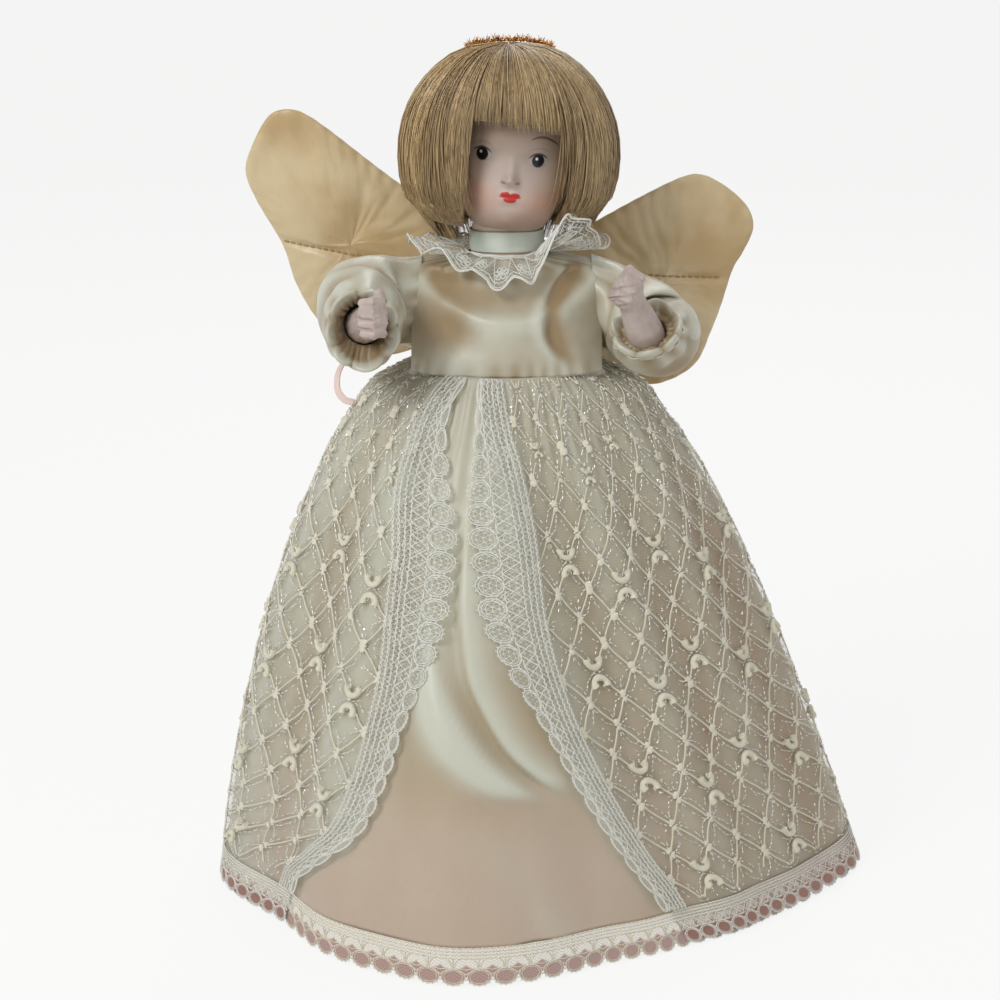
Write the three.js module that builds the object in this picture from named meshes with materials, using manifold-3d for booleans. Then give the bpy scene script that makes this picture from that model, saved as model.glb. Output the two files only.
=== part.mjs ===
// A porcelain angel doll for the top of a tree or a shelf, in millimetres, +Z up, facing -Y.
// Right and left are the doll's own sides, so its right arm is at -X.
import * as THREE from "three";
import { mergeVertices } from "three/addons/utils/BufferGeometryUtils.js";
import Module from "manifold-3d";

const wasm = await Module();
wasm.setup();

// Sewing and fitting
const seamGap = 0.35; // between pieces that touch
const satinWall = 0.8;
const laceWall = 0.6;
const overrun = 4; // how far a cutting tool runs past what it cuts

// Card cone that the doll stands on
const coneRise = 7; // waist seam to the cone's open top
const coneBaseRadius = 58;
const coneTopRadius = 13;
const coneWall = 1.2;

// Skirts
const waistHeight = 191;
const waistHalfWidth = 40.5;
const waistHalfDepth = 30;
const waistForward = 4; // the waist's centre lies in front of the shoulders
const hemHalfWidth = 118.5;
const hemHalfDepth = 101;
const hemAside = 12; // the hem spreads further to the doll's left
const hemYaw = THREE.MathUtils.degToRad(10);
const footAside = 1.3; // the hem's middle, from the hem's own axis
const footBack = 2.3;
const floorGap = 0.4;
const overskirtRise = 1.2; // from the floor to the overskirt's scallops
const scallopPitch = 8.7;
const scallopDepth = 3.4;
const hemLaceDepth = 12.6;
const edgeBandWidth = 5;
const edgeLaceReach = 9.5;
const edgeLaceEase = 0.95; // edge lace to the tulle under it

// Torso
const bodiceLength = 36.2; // waist seam to neckline
const armholeHalfSpan = 32.4; // torso axis to the armhole
const armholeDrop = 17.2; // shoulder wire to the armhole's lowest point
const shoulderHeight = 20; // waist seam to the shoulder wire
const paddingTuck = 15; // padding below the waist seam
const wireRadius = 1;

// Bisque head, neck and shoulder plate, cast in one piece
const bisqueWall = 2.1;
const plateHeight = 13; // plate's rim to the straight neck
const plateHalfWidth = 24;
const plateHalfDepth = 17;
const plateLift = 24.4; // waist seam to the plate's rim
const neckRadius = 11.9;
const neckLength = 8.6; // straight neck, under the chin
const headHeight = 54;
const headHalfWidth = 19.5;
const headHalfDepth = 23;
const headRoll = THREE.MathUtils.degToRad(5.5);
const headYaw = THREE.MathUtils.degToRad(-2.5);

// Wig and halo
const capWall = 0.55;
const capEase = 0.8; // glue under the cap
const hairHeight = 60.2;
const crownDepth = 5; // hair over the crown
const wigLean = THREE.MathUtils.degToRad(-5.5); // the wig stands upright on the tipped head
const hairHalfWidth = 37;
const hairHalfDepth = 29.5;
const hairAside = 0.6; // the wig's axis, to the doll's left of the neck's
const fringeDrop = 19.5; // crown to the fringe's lower edge
const faceHalfWidth = 17;
const faceAside = 3.5; // the hair opens further to the doll's left of the nose
const haloRadius = 14.2;
const haloThickness = 2.4;
const haloTip = THREE.MathUtils.degToRad(5);
const haloBack = 4.5; // the ring's middle behind the neck's
const haloSink = 1.1; // crown of the hair to the ring's middle

// Neck ribbon and lace collar
const chokerWidth = 7;
const chokerWall = 0.6;
const necklineEase = 2.3; // neck to the bodice's neckline
const collarReach = 36;
const collarRuffle = 2.2;

// Arms
const armLength = 50; // armhole to the fist
const shoulderRadius = 13.4;
const elbowRadius = 14.4;
const forearmLength = 26; // socket to the fist's middle
const forearmRadius = 6.5;
const wristRadius = 4.6;
const fistHalfHeight = 7.2;
const fistHalfWidth = 5.2;
const fingerRadius = 1.9;
const cuffLip = 1.6;
const cuffDepth = 8.5;

// Wings
const wingSpan = 96;
const wingPuff = 4.6; // half the padding's thickness
const wingEdge = 0.9; // half the sewn edge's thickness
const wingSweep = 5;
const wingRoll = THREE.MathUtils.degToRad(8);
const wingLean = THREE.MathUtils.degToRad(5); // the lower edges stand further back
const wingPivotLift = 26.5; // waist seam to the wings' middle
const wingPivotBack = 31.5;
const tabWidth = 13;
const tabHeight = 15;
const tabLift = 8; // waist seam to the tab

// Ribbon loop at the waist
const ribbonWidth = 2.4;
const ribbonThickness = 0.5;

const { degToRad, lerp, smoothstep } = THREE.MathUtils;
const TURN = 2 * Math.PI;

// Geometry helpers

// A monotone curve through a table of pairs, so that it never overshoots them.
function through(table) {
  const n = table.length;
  const slope = [];
  for (let i = 0; i < n - 1; i++) {
    slope.push((table[i + 1][1] - table[i][1]) / (table[i + 1][0] - table[i][0]));
  }
  const tangent = table.map((_, i) => {
    if (i === 0) return slope[0];
    if (i === n - 1) return slope[n - 2];
    if (slope[i - 1] * slope[i] <= 0) return 0;
    return (2 * slope[i - 1] * slope[i]) / (slope[i - 1] + slope[i]);
  });
  return (x) => {
    let i = 0;
    while (i < n - 2 && x > table[i + 1][0]) i++;
    const width = table[i + 1][0] - table[i][0];
    const s = Math.min(Math.max((x - table[i][0]) / width, 0), 1);
    const a = (1 + 2 * s) * (1 - s) ** 2;
    const b = s * (1 - s) ** 2 * width;
    const c = s * s * (3 - 2 * s);
    const d = s * s * (s - 1) * width;
    return a * table[i][1] + b * tangent[i] + c * table[i + 1][1] + d * tangent[i + 1];
  };
}

// The same for one column of a table of rows.
function column(table, index) {
  return through(table.map((row) => [row[0], row[index]]));
}

// The triangles of a flat cap, laid as a strip between an outline's two sides.
function capFaces(first, count, reversed) {
  const faces = [];
  let low = 0;
  let high = count - 1;
  while (high - low > 1) {
    faces.push([low, low + 1, high]);
    low++;
    if (high - low > 1) {
      faces.push([low, high - 1, high]);
      high--;
    }
  }
  return faces.flatMap((face) => (reversed ? face.reverse() : face).map((i) => i + first));
}

// A closed skin over stations, each an outline of as many points: capped at both ends, or round in a ring.
// From the outline's point mirrorFrom on, its quads are split along their other diagonal.
function loft(stations, round = false, mirrorFrom = Infinity) {
  const count = stations[0].length;
  const faces = [];
  const spans = round ? stations.length : stations.length - 1;
  for (let i = 0; i < spans; i++) {
    const a = i * count;
    const b = ((i + 1) % stations.length) * count;
    for (let j = 0; j < count; j++) {
      const k = (j + 1) % count;
      if (j < mirrorFrom) faces.push(a + j, b + j, b + k, a + j, b + k, a + k);
      else faces.push(a + j, b + j, a + k, b + j, b + k, a + k);
    }
  }
  if (!round) {
    faces.push(...capFaces(0, count, false));
    faces.push(...capFaces((stations.length - 1) * count, count, true));
  }
  const geometry = new THREE.BufferGeometry();
  const places = stations.flat().flatMap((p) => p.toArray());
  geometry.setAttribute("position", new THREE.Float32BufferAttribute(places, 3));
  geometry.setIndex(faces);
  if (solidOf(geometry).volume() < 0) geometry.setIndex(faces.reverse());
  return geometry;
}

// A sheet of cloth: place(across, down, lift) gives its points, and lift goes outwards.
function sheet(place, columns, rows, wall, round) {
  const stations = [];
  for (let i = 0; i < (round ? columns : columns + 1); i++) {
    const outer = [];
    const inner = [];
    for (let j = 0; j <= rows; j++) {
      outer.push(place(i / columns, j / rows, wall));
      inner.unshift(place(i / columns, j / rows, 0));
    }
    stations.push([...outer, ...inner]);
  }
  return loft(stations, round, rows + 1);
}

// A level ring about the Z axis, with its own reach to the front (-Y) and to the back.
function levelRing(count, z, halfWidth, front, back = front, forward = 0) {
  const points = [];
  for (let i = 0; i < count; i++) {
    const angle = (TURN * i) / count;
    const deep = Math.sin(angle);
    const y = deep * (deep < 0 ? front : back) - forward;
    points.push(new THREE.Vector3(halfWidth * Math.cos(angle), y, z));
  }
  return points;
}

// An oval ring round a path, upright as far as the path's direction lets it be.
function pathRing(count, centre, direction, across, upward) {
  const normal = direction.clone().normalize();
  const up = new THREE.Vector3(0, 0, 1).addScaledVector(normal, -normal.z).normalize();
  const side = new THREE.Vector3().crossVectors(up, normal);
  const points = [];
  for (let i = 0; i < count; i++) {
    const angle = (TURN * i) / count;
    const point = centre.clone().addScaledVector(side, across * Math.cos(angle));
    points.push(point.addScaledVector(up, upward * Math.sin(angle)));
  }
  return points;
}

function solidOf(geometry) {
  const bare = new THREE.BufferGeometry();
  bare.setAttribute("position", geometry.getAttribute("position"));
  bare.setIndex(geometry.index);
  const merged = mergeVertices(bare);
  return new wasm.Manifold(
    new wasm.Mesh({
      numProp: 3,
      vertProperties: new Float32Array(merged.attributes.position.array),
      triVerts: new Uint32Array(merged.index.array),
    }),
  );
}

function geometryOf(solid) {
  const mesh = solid.getMesh();
  const geometry = new THREE.BufferGeometry();
  geometry.setAttribute("position", new THREE.BufferAttribute(mesh.vertProperties, 3));
  return geometry.setIndex(new THREE.BufferAttribute(mesh.triVerts, 1));
}

const join = (...pieces) => geometryOf(pieces.map(solidOf).reduce((a, b) => a.add(b)));
const cut = (piece, ...tools) =>
  geometryOf(tools.map(solidOf).reduce((a, b) => a.subtract(b), solidOf(piece)));
const common = (a, b) => geometryOf(solidOf(a).intersect(solidOf(b)));

function block(width, depth, height, x, y, z) {
  return new THREE.BoxGeometry(width, depth, height).translate(x, y, z);
}

// A round bar or strip along a curve.
function along(curve, section, steps) {
  return new THREE.ExtrudeGeometry(section, { steps, extrudePath: curve, bevelEnabled: false });
}

function disc(radius, sides) {
  const shape = new THREE.Shape();
  for (let i = 0; i < sides; i++) {
    const angle = (TURN * i) / sides;
    const move = i ? "lineTo" : "moveTo";
    shape[move](radius * Math.cos(angle), radius * Math.sin(angle));
  }
  return shape;
}

// Materials

const satin = new THREE.MeshStandardMaterial({ color: 0xdcd9c4, roughness: 0.38 });
const wingSatin = new THREE.MeshStandardMaterial({ color: 0xe0caa0, roughness: 0.42 });
const tulle = new THREE.MeshStandardMaterial({ color: 0xd9d3c0, roughness: 0.7 });
const lace = new THREE.MeshStandardMaterial({ color: 0xf0ece0, roughness: 0.85 });
const ribbon = new THREE.MeshStandardMaterial({ color: 0xd3dccf, roughness: 0.35 });
const bisque = new THREE.MeshStandardMaterial({ color: 0xd9c2bb, roughness: 0.55 });
const hair = new THREE.MeshStandardMaterial({ color: 0xb29a68, roughness: 0.5 });
const capCloth = new THREE.MeshStandardMaterial({ color: 0xa89468, roughness: 0.9 });
const tinsel = new THREE.MeshStandardMaterial({ color: 0xa8803c, roughness: 0.35, metalness: 0.9 });
const card = new THREE.MeshStandardMaterial({ color: 0xcdbf9f, roughness: 0.9 });
const stuffing = new THREE.MeshStandardMaterial({ color: 0xe8e4da, roughness: 0.95 });
const steel = new THREE.MeshStandardMaterial({ color: 0x9a9a96, roughness: 0.4, metalness: 1 });

function piece(name, geometry, material) {
  const mesh = new THREE.Mesh(geometry, material);
  mesh.name = name;
  return mesh;
}

// Card cone, open at both ends

const coneHeight = waistHeight + coneRise;

function coneRadiusAt(z) {
  return lerp(coneBaseRadius, coneTopRadius, z / coneHeight);
}

function topperCone() {
  const sides = 32;
  return loft(
    [
      levelRing(sides, 0, coneBaseRadius, coneBaseRadius),
      levelRing(sides, coneHeight, coneTopRadius, coneTopRadius),
      levelRing(sides, coneHeight, coneTopRadius - coneWall, coneTopRadius - coneWall),
      levelRing(sides, 0, coneBaseRadius - coneWall, coneBaseRadius - coneWall),
    ],
    true,
  );
}

// Skirts: one surface from the waist to the hem, which every layer lies over

const skirtSpreadShares = [[0, 0], [0.073, 0.115], [0.157, 0.265], [0.387, 0.54], [0.707, 0.81], [1, 1]];
const skirtSpread = through(skirtSpreadShares);
const sideBalanceShare = 0.14; // the doll's right side hangs fuller near the waist

// Where the hem is drawn in: the angle, how wide, and its share of the hem's radius.
const hemDrawnInShares = [
  { at: -46, wide: 42, power: 4, share: 0.2 },
  { at: -152, wide: 24, power: 2, share: 0.13 },
];

// The main folds: angle at the waist and at the hem, how wide, and the share of the radius they stand out.
const foldShares = [
  { from: -97, to: -63, wide: 9, share: 0.045 },
  { from: -112, to: -108, wide: 8, share: 0.035 },
  { from: -135, to: -138, wide: 10, share: 0.04 },
  { from: -168, to: -172, wide: 12, share: 0.04 },
  { from: 160, to: 152, wide: 13, share: 0.05 },
  { from: 128, to: 122, wide: 12, share: 0.05 },
  { from: 98, to: 92, wide: 12, share: 0.05 },
  { from: 66, to: 62, wide: 12, share: 0.05 },
  { from: 34, to: 33, wide: 12, share: 0.045 },
  { from: 4, to: 6, wide: 11, share: 0.04 },
  { from: -28, to: -20, wide: 10, share: 0.045 },
  { from: -62, to: -38, wide: 9, share: 0.04 },
];

function ovalRadius(angle, halfWidth, halfDepth) {
  return 1 / Math.hypot(Math.cos(angle) / halfWidth, Math.sin(angle) / halfDepth);
}

function angleApart(angle, degrees) {
  const apart = (((angle - degToRad(degrees)) % TURN) + TURN + Math.PI) % TURN;
  return Math.abs(apart - Math.PI);
}

function hemRadius(angle) {
  let share = 1;
  for (const dent of hemDrawnInShares) {
    share -= dent.share * Math.exp(-((angleApart(angle, dent.at) / degToRad(dent.wide)) ** dent.power));
  }
  return share * ovalRadius(angle - hemYaw, hemHalfWidth, hemHalfDepth);
}

// The share of the radius that the folds add: they start at the gathers and open out downwards.
function foldShare(angle, fall) {
  let sum = 0;
  for (const fold of foldShares) {
    const apart = angleApart(angle, lerp(fold.from, fold.to, fall)) / degToRad(fold.wide);
    sum += fold.share * (Math.exp(-apart * apart) - (fold.wide * Math.sqrt(Math.PI)) / 360);
  }
  return sum * smoothstep(fall, 0.02, 0.3) * (1 - 0.45 * fall);
}

// A point of the skirt: fall is 0 at the waist seam and 1 at the floor.
function skirtPoint(angle, fall, lift) {
  const waist = ovalRadius(angle, waistHalfWidth, waistHalfDepth);
  const spread = skirtSpread(fall) - sideBalanceShare * Math.cos(angle) * fall * (1 - fall);
  const radius = lerp(waist, hemRadius(angle), spread) * (1 + foldShare(angle, fall)) + lift;
  const x = hemAside * fall + radius * Math.cos(angle);
  const y = waistForward * (fall - 1) + radius * Math.sin(angle);
  return new THREE.Vector3(x - hemAside, y, waistHeight * (1 - fall));
}

// Every layer follows the same facets: a point between the grid's columns and levels lies on a straight line.
const skirtColumns = 44;
const skirtFallShares = [0, 0.06, 0.15, 0.33, 0.63, 1];

function draped(angle, fall, lift) {
  const level = Math.max(skirtFallShares.findLastIndex((share) => share <= fall), 0);
  const upper = Math.min(level, skirtFallShares.length - 2);
  const [above, below] = [skirtFallShares[upper], skirtFallShares[upper + 1]];
  const step = TURN / skirtColumns;
  const before = Math.floor(angle / step) * step;
  const corner = (a, f) => skirtPoint(a, f, lift);
  const along = (f) => corner(before, f).lerp(corner(before + step, f), (angle - before) / step);
  return along(above).lerp(along(below), (fall - above) / (below - above));
}

const fallOf = (z) => 1 - z / waistHeight;
const waistFall = fallOf(waistHeight - seamGap);
const underskirtFall = fallOf(floorGap + hemLaceDepth + seamGap);
const overskirtFall = fallOf(overskirtRise + hemLaceDepth + seamGap);
const overskirtLift = satinWall + 2 * seamGap;
const edgeLaceLift = overskirtLift + laceWall + edgeLaceEase;

// The overskirt's front edges: their angle in degrees at each fall.
const rightEdgeShares = [
  [0, -118], [0.085, -124], [0.165, -124], [0.3, -120.7], [0.46, -120.3], [0.58, -122.5],
  [0.683, -125.6], [0.765, -130.1], [0.831, -138.6], [0.896, -147.5], [1, -151],
];
const leftEdgeShares = [
  [0, -104], [0.083, -99.4], [0.145, -94.8], [0.266, -90.6], [0.375, -89.4], [0.458, -87.1],
  [0.556, -82.9], [0.644, -77.8], [0.739, -71.4], [0.823, -65], [0.9, -58.5], [1, -53],
];
const rightEdgeAngle = through(rightEdgeShares);
const leftEdgeAngle = through(leftEdgeShares);

// Round the back from the left front edge to the right one.
function overskirtAngle(across, fall) {
  return degToRad(lerp(leftEdgeAngle(fall), rightEdgeAngle(fall) + 360, across));
}

// A whole skirt between two falls, on the grid's columns and levels.
function fullSkirt(top, bottom, lift, wall) {
  const levels = [top, ...skirtFallShares.filter((share) => share > top && share < bottom), bottom];
  const place = (across, down, rise) => {
    return draped(TURN * across, levels[Math.round(down * (levels.length - 1))], lift + rise);
  };
  return sheet(place, skirtColumns, levels.length - 1, wall, true);
}

function underskirt() {
  return fullSkirt(waistFall, underskirtFall, 0, satinWall);
}

function overskirt() {
  const reach = 5 * overrun;
  const frontGap = sheet((across, down, rise) => {
    const fall = lerp(-0.05, 1.02, down);
    const edge = Math.min(Math.max(fall, 0), 1);
    const angle = degToRad(lerp(rightEdgeAngle(edge), leftEdgeAngle(edge), across));
    return skirtPoint(angle, fall, overskirtLift + rise - reach / 2);
  }, 4, 12, reach, false);
  return cut(fullSkirt(waistFall, overskirtFall, overskirtLift, laceWall), frontGap);
}

// How many scallops fit along a path that place(share) walks.
function scallopsAlong(place) {
  const steps = 90;
  let length = 0;
  for (let i = 0; i < steps; i++) length += place(i / steps).distanceTo(place((i + 1) / steps));
  return Math.round(length / scallopPitch);
}

// Two columns a scallop, its lower edge going from valley to tip.
const isTip = (across, count) => Math.round(across * 2 * count) % 2 === 1;

function underskirtLace() {
  const count = scallopsAlong((across) => skirtPoint(TURN * across, fallOf(floorGap), 0));
  const top = fallOf(floorGap + hemLaceDepth);
  const place = (across, down, lift) => {
    const low = fallOf(floorGap + (isTip(across, count) ? 0 : scallopDepth));
    return draped(TURN * across, lerp(top, low, down), lift);
  };
  return sheet(place, 2 * count, 1, laceWall, true);
}

function overskirtHemLace() {
  const path = (across) => skirtPoint(overskirtAngle(across, overskirtFall), overskirtFall, overskirtLift);
  const count = scallopsAlong(path);
  const top = fallOf(overskirtRise + hemLaceDepth);
  const place = (across, down, lift) => {
    const low = fallOf(overskirtRise + (isTip(across, count) ? 0 : scallopDepth));
    const fall = lerp(top, low, down);
    return draped(overskirtAngle(across, fall), fall, overskirtLift + lift);
  };
  return sheet(place, 2 * count, 1, laceWall, false);
}

// Lace down a front edge: a band sewn on the tulle, and scallops that reach over the satin,
// which turn under low down.
function edgeLace(edgeAngle, side) {
  const lowest = fallOf(overskirtRise + hemLaceDepth + 2 * seamGap);
  const path = (share) => skirtPoint(degToRad(edgeAngle(share * lowest)), share * lowest, edgeLaceLift);
  const count = scallopsAlong(path);
  const place = (across, down, lift) => {
    const fall = lerp(waistFall, lowest, across);
    const radius = Math.hypot(waistHalfWidth, waistHalfDepth) / 2 + hemHalfDepth * fall / 2;
    const turnedUnder = lerp(1, 0.4, smoothstep(fall, 0.35, 0.6));
    const reach = edgeLaceReach * turnedUnder * lerp(0.2, 1, smoothstep(fall, 0.02, 0.25));
    const tip = isTip(across, count) ? reach : Math.max(reach - scallopDepth, reach / 2);
    const inward = lerp(-edgeBandWidth, tip, down);
    return draped(degToRad(edgeAngle(fall)) + (side * inward) / radius, fall, edgeLaceLift + lift);
  };
  return sheet(place, 2 * count, 2, laceWall, false);
}

// Torso: the bodice's profile from the waist seam to the neckline, as shares of its length and half sizes

const bodiceShares = [
  // height, width, depth, forward
  [0, 0.98, 0.98, 1],
  [0.09, 0.965, 0.98, 0.92],
  [0.22, 0.94, 0.96, 0.75],
  [0.41, 0.92, 0.92, 0.5],
  [0.61, 0.9, 0.85, 0.3],
  [0.787, 0.875, 0.7, 0.15],
  [0.9, 0.83, 0.54, 0.05],
  [0.95, 0.62, 0.49, 0],
];
const necklineRadius = neckRadius + necklineEase;

const bodiceRow = (height) => [height, ...[1, 2, 3].map((i) => column(bodiceShares, i)(height))];

function torsoRing(row, inset, sides) {
  const [height, width, depth, forward] = row;
  const z = bodiceLength * height - inset * height;
  const halfDepth = waistHalfDepth * depth - inset;
  return levelRing(sides, z, waistHalfWidth * width - inset, halfDepth, halfDepth, waistForward * forward);
}

const torsoSides = 24;

function bodice() {
  const wall = (inset) => [
    ...bodiceShares.map((row) => torsoRing(row, inset, torsoSides)),
    levelRing(torsoSides, bodiceLength - inset, necklineRadius - inset, necklineRadius - inset),
  ];
  const barrel = loft([...wall(0), ...wall(satinWall).reverse()], true);
  const armholes = [-1, 1].map((side) => {
    const width = waistHalfWidth;
    const height = bodiceLength;
    const z = shoulderHeight - armholeDrop + height / 2;
    return block(width, 3 * waistHalfDepth, height, side * (armholeHalfSpan + width / 2), 0, z);
  });
  return cut(barrel, ...armholes);
}

// The shoulder plate's profile from its rim to the neck, as shares of its height and of what it narrows by.
const plateShares = [[0, 1], [0.27, 0.9], [0.5, 0.58], [0.68, 0.25], [0.82, 0.08], [1, 0]];

function plateRings(inset, sides) {
  return plateShares.map(([height, width]) => {
    const halfWidth = lerp(neckRadius, plateHalfWidth, width) - inset;
    const halfDepth = lerp(neckRadius, plateHalfDepth, width) - inset;
    return levelRing(sides, plateLift + plateHeight * height - inset * height * 0.6, halfWidth, halfDepth);
  });
}

const neckTop = plateLift + plateHeight + neckLength;

function torsoPadding() {
  const inset = satinWall + seamGap;
  const socket = (z) => {
    const radius = coneRadiusAt(z) + seamGap;
    return levelRing(torsoSides, z - waistHeight, radius, radius);
  };
  const narrowest = armholeHalfSpan - inset;
  const narrowed = (ring) => {
    for (const p of ring) p.x = THREE.MathUtils.clamp(p.x, -narrowest, narrowest);
    return ring;
  };
  const core = bodiceShares.filter(([height]) => bodiceLength * height < plateLift - seamGap);
  const [lowest, ...flank] = core.map((row) => torsoRing(row, inset, torsoSides));
  const tuck = [0.86, 0.93].map((share, i) => {
    const z = -paddingTuck * (1 - i / 2);
    const [halfWidth, halfDepth] = [waistHalfWidth * share - inset, waistHalfDepth * share];
    return levelRing(torsoSides, z, halfWidth, halfDepth, halfDepth, waistForward);
  });
  const ledge = torsoRing(bodiceRow((plateLift - seamGap) / bodiceLength), inset + seamGap, torsoSides);
  const peg = plateRings(bisqueWall + seamGap, torsoSides);
  peg[0] = peg[0].map((p) => p.setZ(plateLift - seamGap));
  const tip = peg.at(-1).map((p) => p.clone().setZ(neckTop - neckLength));
  const body = loft([
    socket(coneHeight + seamGap),
    socket(waistHeight - paddingTuck),
    ...tuck,
    lowest,
    ...flank.map(narrowed),
    narrowed(ledge),
    ...peg,
    tip,
  ]);
  return cut(body, wireRod(armholeHalfSpan + overrun, wireRadius + seamGap));
}

function wireRod(halfLength, radius) {
  const rod = new THREE.CylinderGeometry(radius, radius, 2 * halfLength, 10);
  return rod.rotateZ(Math.PI / 2).translate(0, 0, shoulderHeight);
}

// Head: its profile from chin to crown, as shares of its height, half width and half depth

const headShares = [
  // height, width, front, back
  [0, 0.6, 0.62, 0.55],
  [0.012, 0.64, 0.76, 0.57],
  [0.037, 0.69, 0.9, 0.63],
  [0.093, 0.79, 0.965, 0.72],
  [0.167, 0.87, 0.99, 0.8],
  [0.24, 0.935, 1.005, 0.87],
  [0.39, 0.995, 1.01, 0.945],
  [0.463, 1, 1.01, 0.957],
  [0.6, 1, 1.05, 0.965],
  [0.704, 0.98, 1.025, 0.94],
  [0.796, 0.91, 0.94, 0.86],
  [0.87, 0.795, 0.815, 0.75],
  [0.935, 0.625, 0.635, 0.58],
  [0.981, 0.39, 0.39, 0.36],
  [1, 0.16, 0.16, 0.15],
];
const headWidth = column(headShares, 1);
const headFront = column(headShares, 2);
const headBack = column(headShares, 3);

// What the face adds to the front: its place, its spread and its lift, as shares of the head's sizes.
const faceShares = [
  { side: 0, height: 0.339, wide: 0.09, tall: 0.042, lift: 0.12 }, // tip of the nose
  { side: 0, height: 0.42, wide: 0.075, tall: 0.075, lift: 0.055 }, // bridge
  { side: 0.477, height: 0.47, wide: 0.2, tall: 0.055, lift: -0.055 }, // eye sockets
  { side: -0.477, height: 0.47, wide: 0.2, tall: 0.055, lift: -0.055 },
  { side: 0.5, height: 0.278, wide: 0.3, tall: 0.09, lift: 0.035 }, // cheeks
  { side: -0.5, height: 0.278, wide: 0.3, tall: 0.09, lift: 0.035 },
  { side: 0, height: 0.226, wide: 0.17, tall: 0.022, lift: 0.045 }, // lips
  { side: 0, height: 0.163, wide: 0.2, tall: 0.02, lift: -0.025 },
  { side: 0, height: 0.083, wide: 0.2, tall: 0.04, lift: 0.05 }, // chin
];

function faceLift(side, height) {
  let sum = 0;
  for (const form of faceShares) {
    const a = (side - form.side) / form.wide;
    const b = (height - form.height) / form.tall;
    sum += form.lift * Math.exp(-a * a - b * b);
  }
  return sum * headHalfDepth;
}

// Angles that start at the front (-Y) and lie closest together there.
function facingAngles(count) {
  const crowd = 0.08;
  return Array.from({ length: count }, (_, i) => {
    const share = i / count;
    return TURN * (share - crowd * Math.sin(TURN * share)) - Math.PI / 2;
  });
}

// A ring of the head at a height share.
function headRing(sides, height, lift, faced) {
  const points = [];
  for (const angle of facingAngles(sides)) {
    const deep = Math.sin(angle);
    const across = Math.cos(angle);
    const reach = deep < 0 ? headFront(height) : headBack(height);
    let y = deep * (headHalfDepth * reach + lift);
    if (faced && deep < 0) y -= faceLift(across * headWidth(height), height) * deep * deep;
    const x = across * (headHalfWidth * headWidth(height) + lift);
    points.push(new THREE.Vector3(x, y, headHeight * height));
  }
  return points;
}

// The head as a solid, grown by lift, for what fits over it.
function headBlank(lift) {
  const sides = 20;
  const rings = headShares.map(([height]) => headRing(sides, height, lift, false));
  rings.push(headRing(sides, 1, lift, false).map((p) => p.setZ(headHeight + lift)));
  return loft(rings);
}

const headPivot = new THREE.Vector3(0, 0, neckTop);
const headTurn = new THREE.Quaternion().setFromEuler(new THREE.Euler(0, headRoll, headYaw, "YXZ"));

// From the head's own frame to the torso's.
const onNeck = (p) => p.applyQuaternion(headTurn).add(headPivot);

function bisqueHead() {
  const sides = 24;
  // Rings of the neck start at the front too, so that they join the head's.
  const fromFront = (ring) => {
    const halfWidth = Math.max(...ring.map((p) => p.x));
    const halfDepth = Math.max(...ring.map((p) => p.y));
    return facingAngles(sides).map((angle) => {
      return new THREE.Vector3(halfWidth * Math.cos(angle), halfDepth * Math.sin(angle), ring[0].z);
    });
  };
  const neck = (inset) => [
    ...plateRings(inset, sides).map(fromFront),
    fromFront(levelRing(sides, neckTop, neckRadius - inset, neckRadius - inset)),
  ];
  const faceRows = 12;
  const levels = [0, 0.037];
  for (let i = 0; i < faceRows; i++) levels.push(lerp(0.07, 0.66, i / (faceRows - 1)));
  levels.push(0.72, 0.8, 0.87, 0.935, 0.981, 1);
  const outer = levels.map((height) => headRing(sides, height, 0, true).map(onNeck));
  const innerLevels = [0.09, 0.25, 0.6, 0.85, 0.94];
  const thickest = 1.4 * bisqueWall; // poured bisque is thickest behind the face
  const inner = innerLevels.map((height) => headRing(sides, height, -thickest, false).map(onNeck));
  return loft([...inner.reverse(), ...neck(bisqueWall).reverse(), ...neck(0), ...outer]);
}

// Wig: cloth cap, bobbed hair and fringe

const hairEase = capEase + capWall + seamGap;
const hairBase = headHeight + hairEase + crownDepth - hairHeight; // the hair's lowest point

function wigCap() {
  const shell = cut(headBlank(capEase + capWall), headBlank(capEase));
  const below = block(6 * headHalfWidth, 6 * headHalfDepth, 2 * headHeight, 0, 0, -headHeight);
  const hairline = new THREE.Matrix4().makeRotationX(degToRad(-28));
  below.applyMatrix4(hairline).translate(0, 0, 0.72 * headHeight);
  return cut(shell, below);
}

const hairShares = [
  // height, width, front, back
  [0, 0.62, 0.6, 0.72],
  [0.04, 0.77, 0.74, 0.84],
  [0.12, 0.91, 0.87, 0.94],
  [0.24, 0.98, 0.94, 1],
  [0.38, 1, 0.98, 1.01],
  [0.5, 0.99, 1, 1.01],
  [0.64, 0.93, 0.99, 0.97],
  [0.77, 0.82, 0.92, 0.89],
  [0.87, 0.68, 0.79, 0.77],
  [0.93, 0.545, 0.65, 0.63],
  [0.968, 0.42, 0.52, 0.5],
  [0.99, 0.26, 0.33, 0.32],
  [1, 0.08, 0.1, 0.1],
];

function hairRings() {
  return hairShares.map(([height, width, front, back]) => {
    const z = hairBase + hairHeight * height;
    const ring = levelRing(24, z, hairHalfWidth * width, hairHalfDepth * front, hairHalfDepth * back);
    return ring.map((p) => p.setX(p.x + hairAside).applyAxisAngle(new THREE.Vector3(0, 1, 0), wigLean));
  });
}

function hairShell() {
  const holeRadius = neckRadius + hairEase;
  const neckHole = loft([-1, 1].map((end) => levelRing(24, (end * headHeight) / 3, holeRadius, holeRadius)));
  return cut(loft(hairRings()), headBlank(hairEase), neckHole, halo(seamGap));
}

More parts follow.
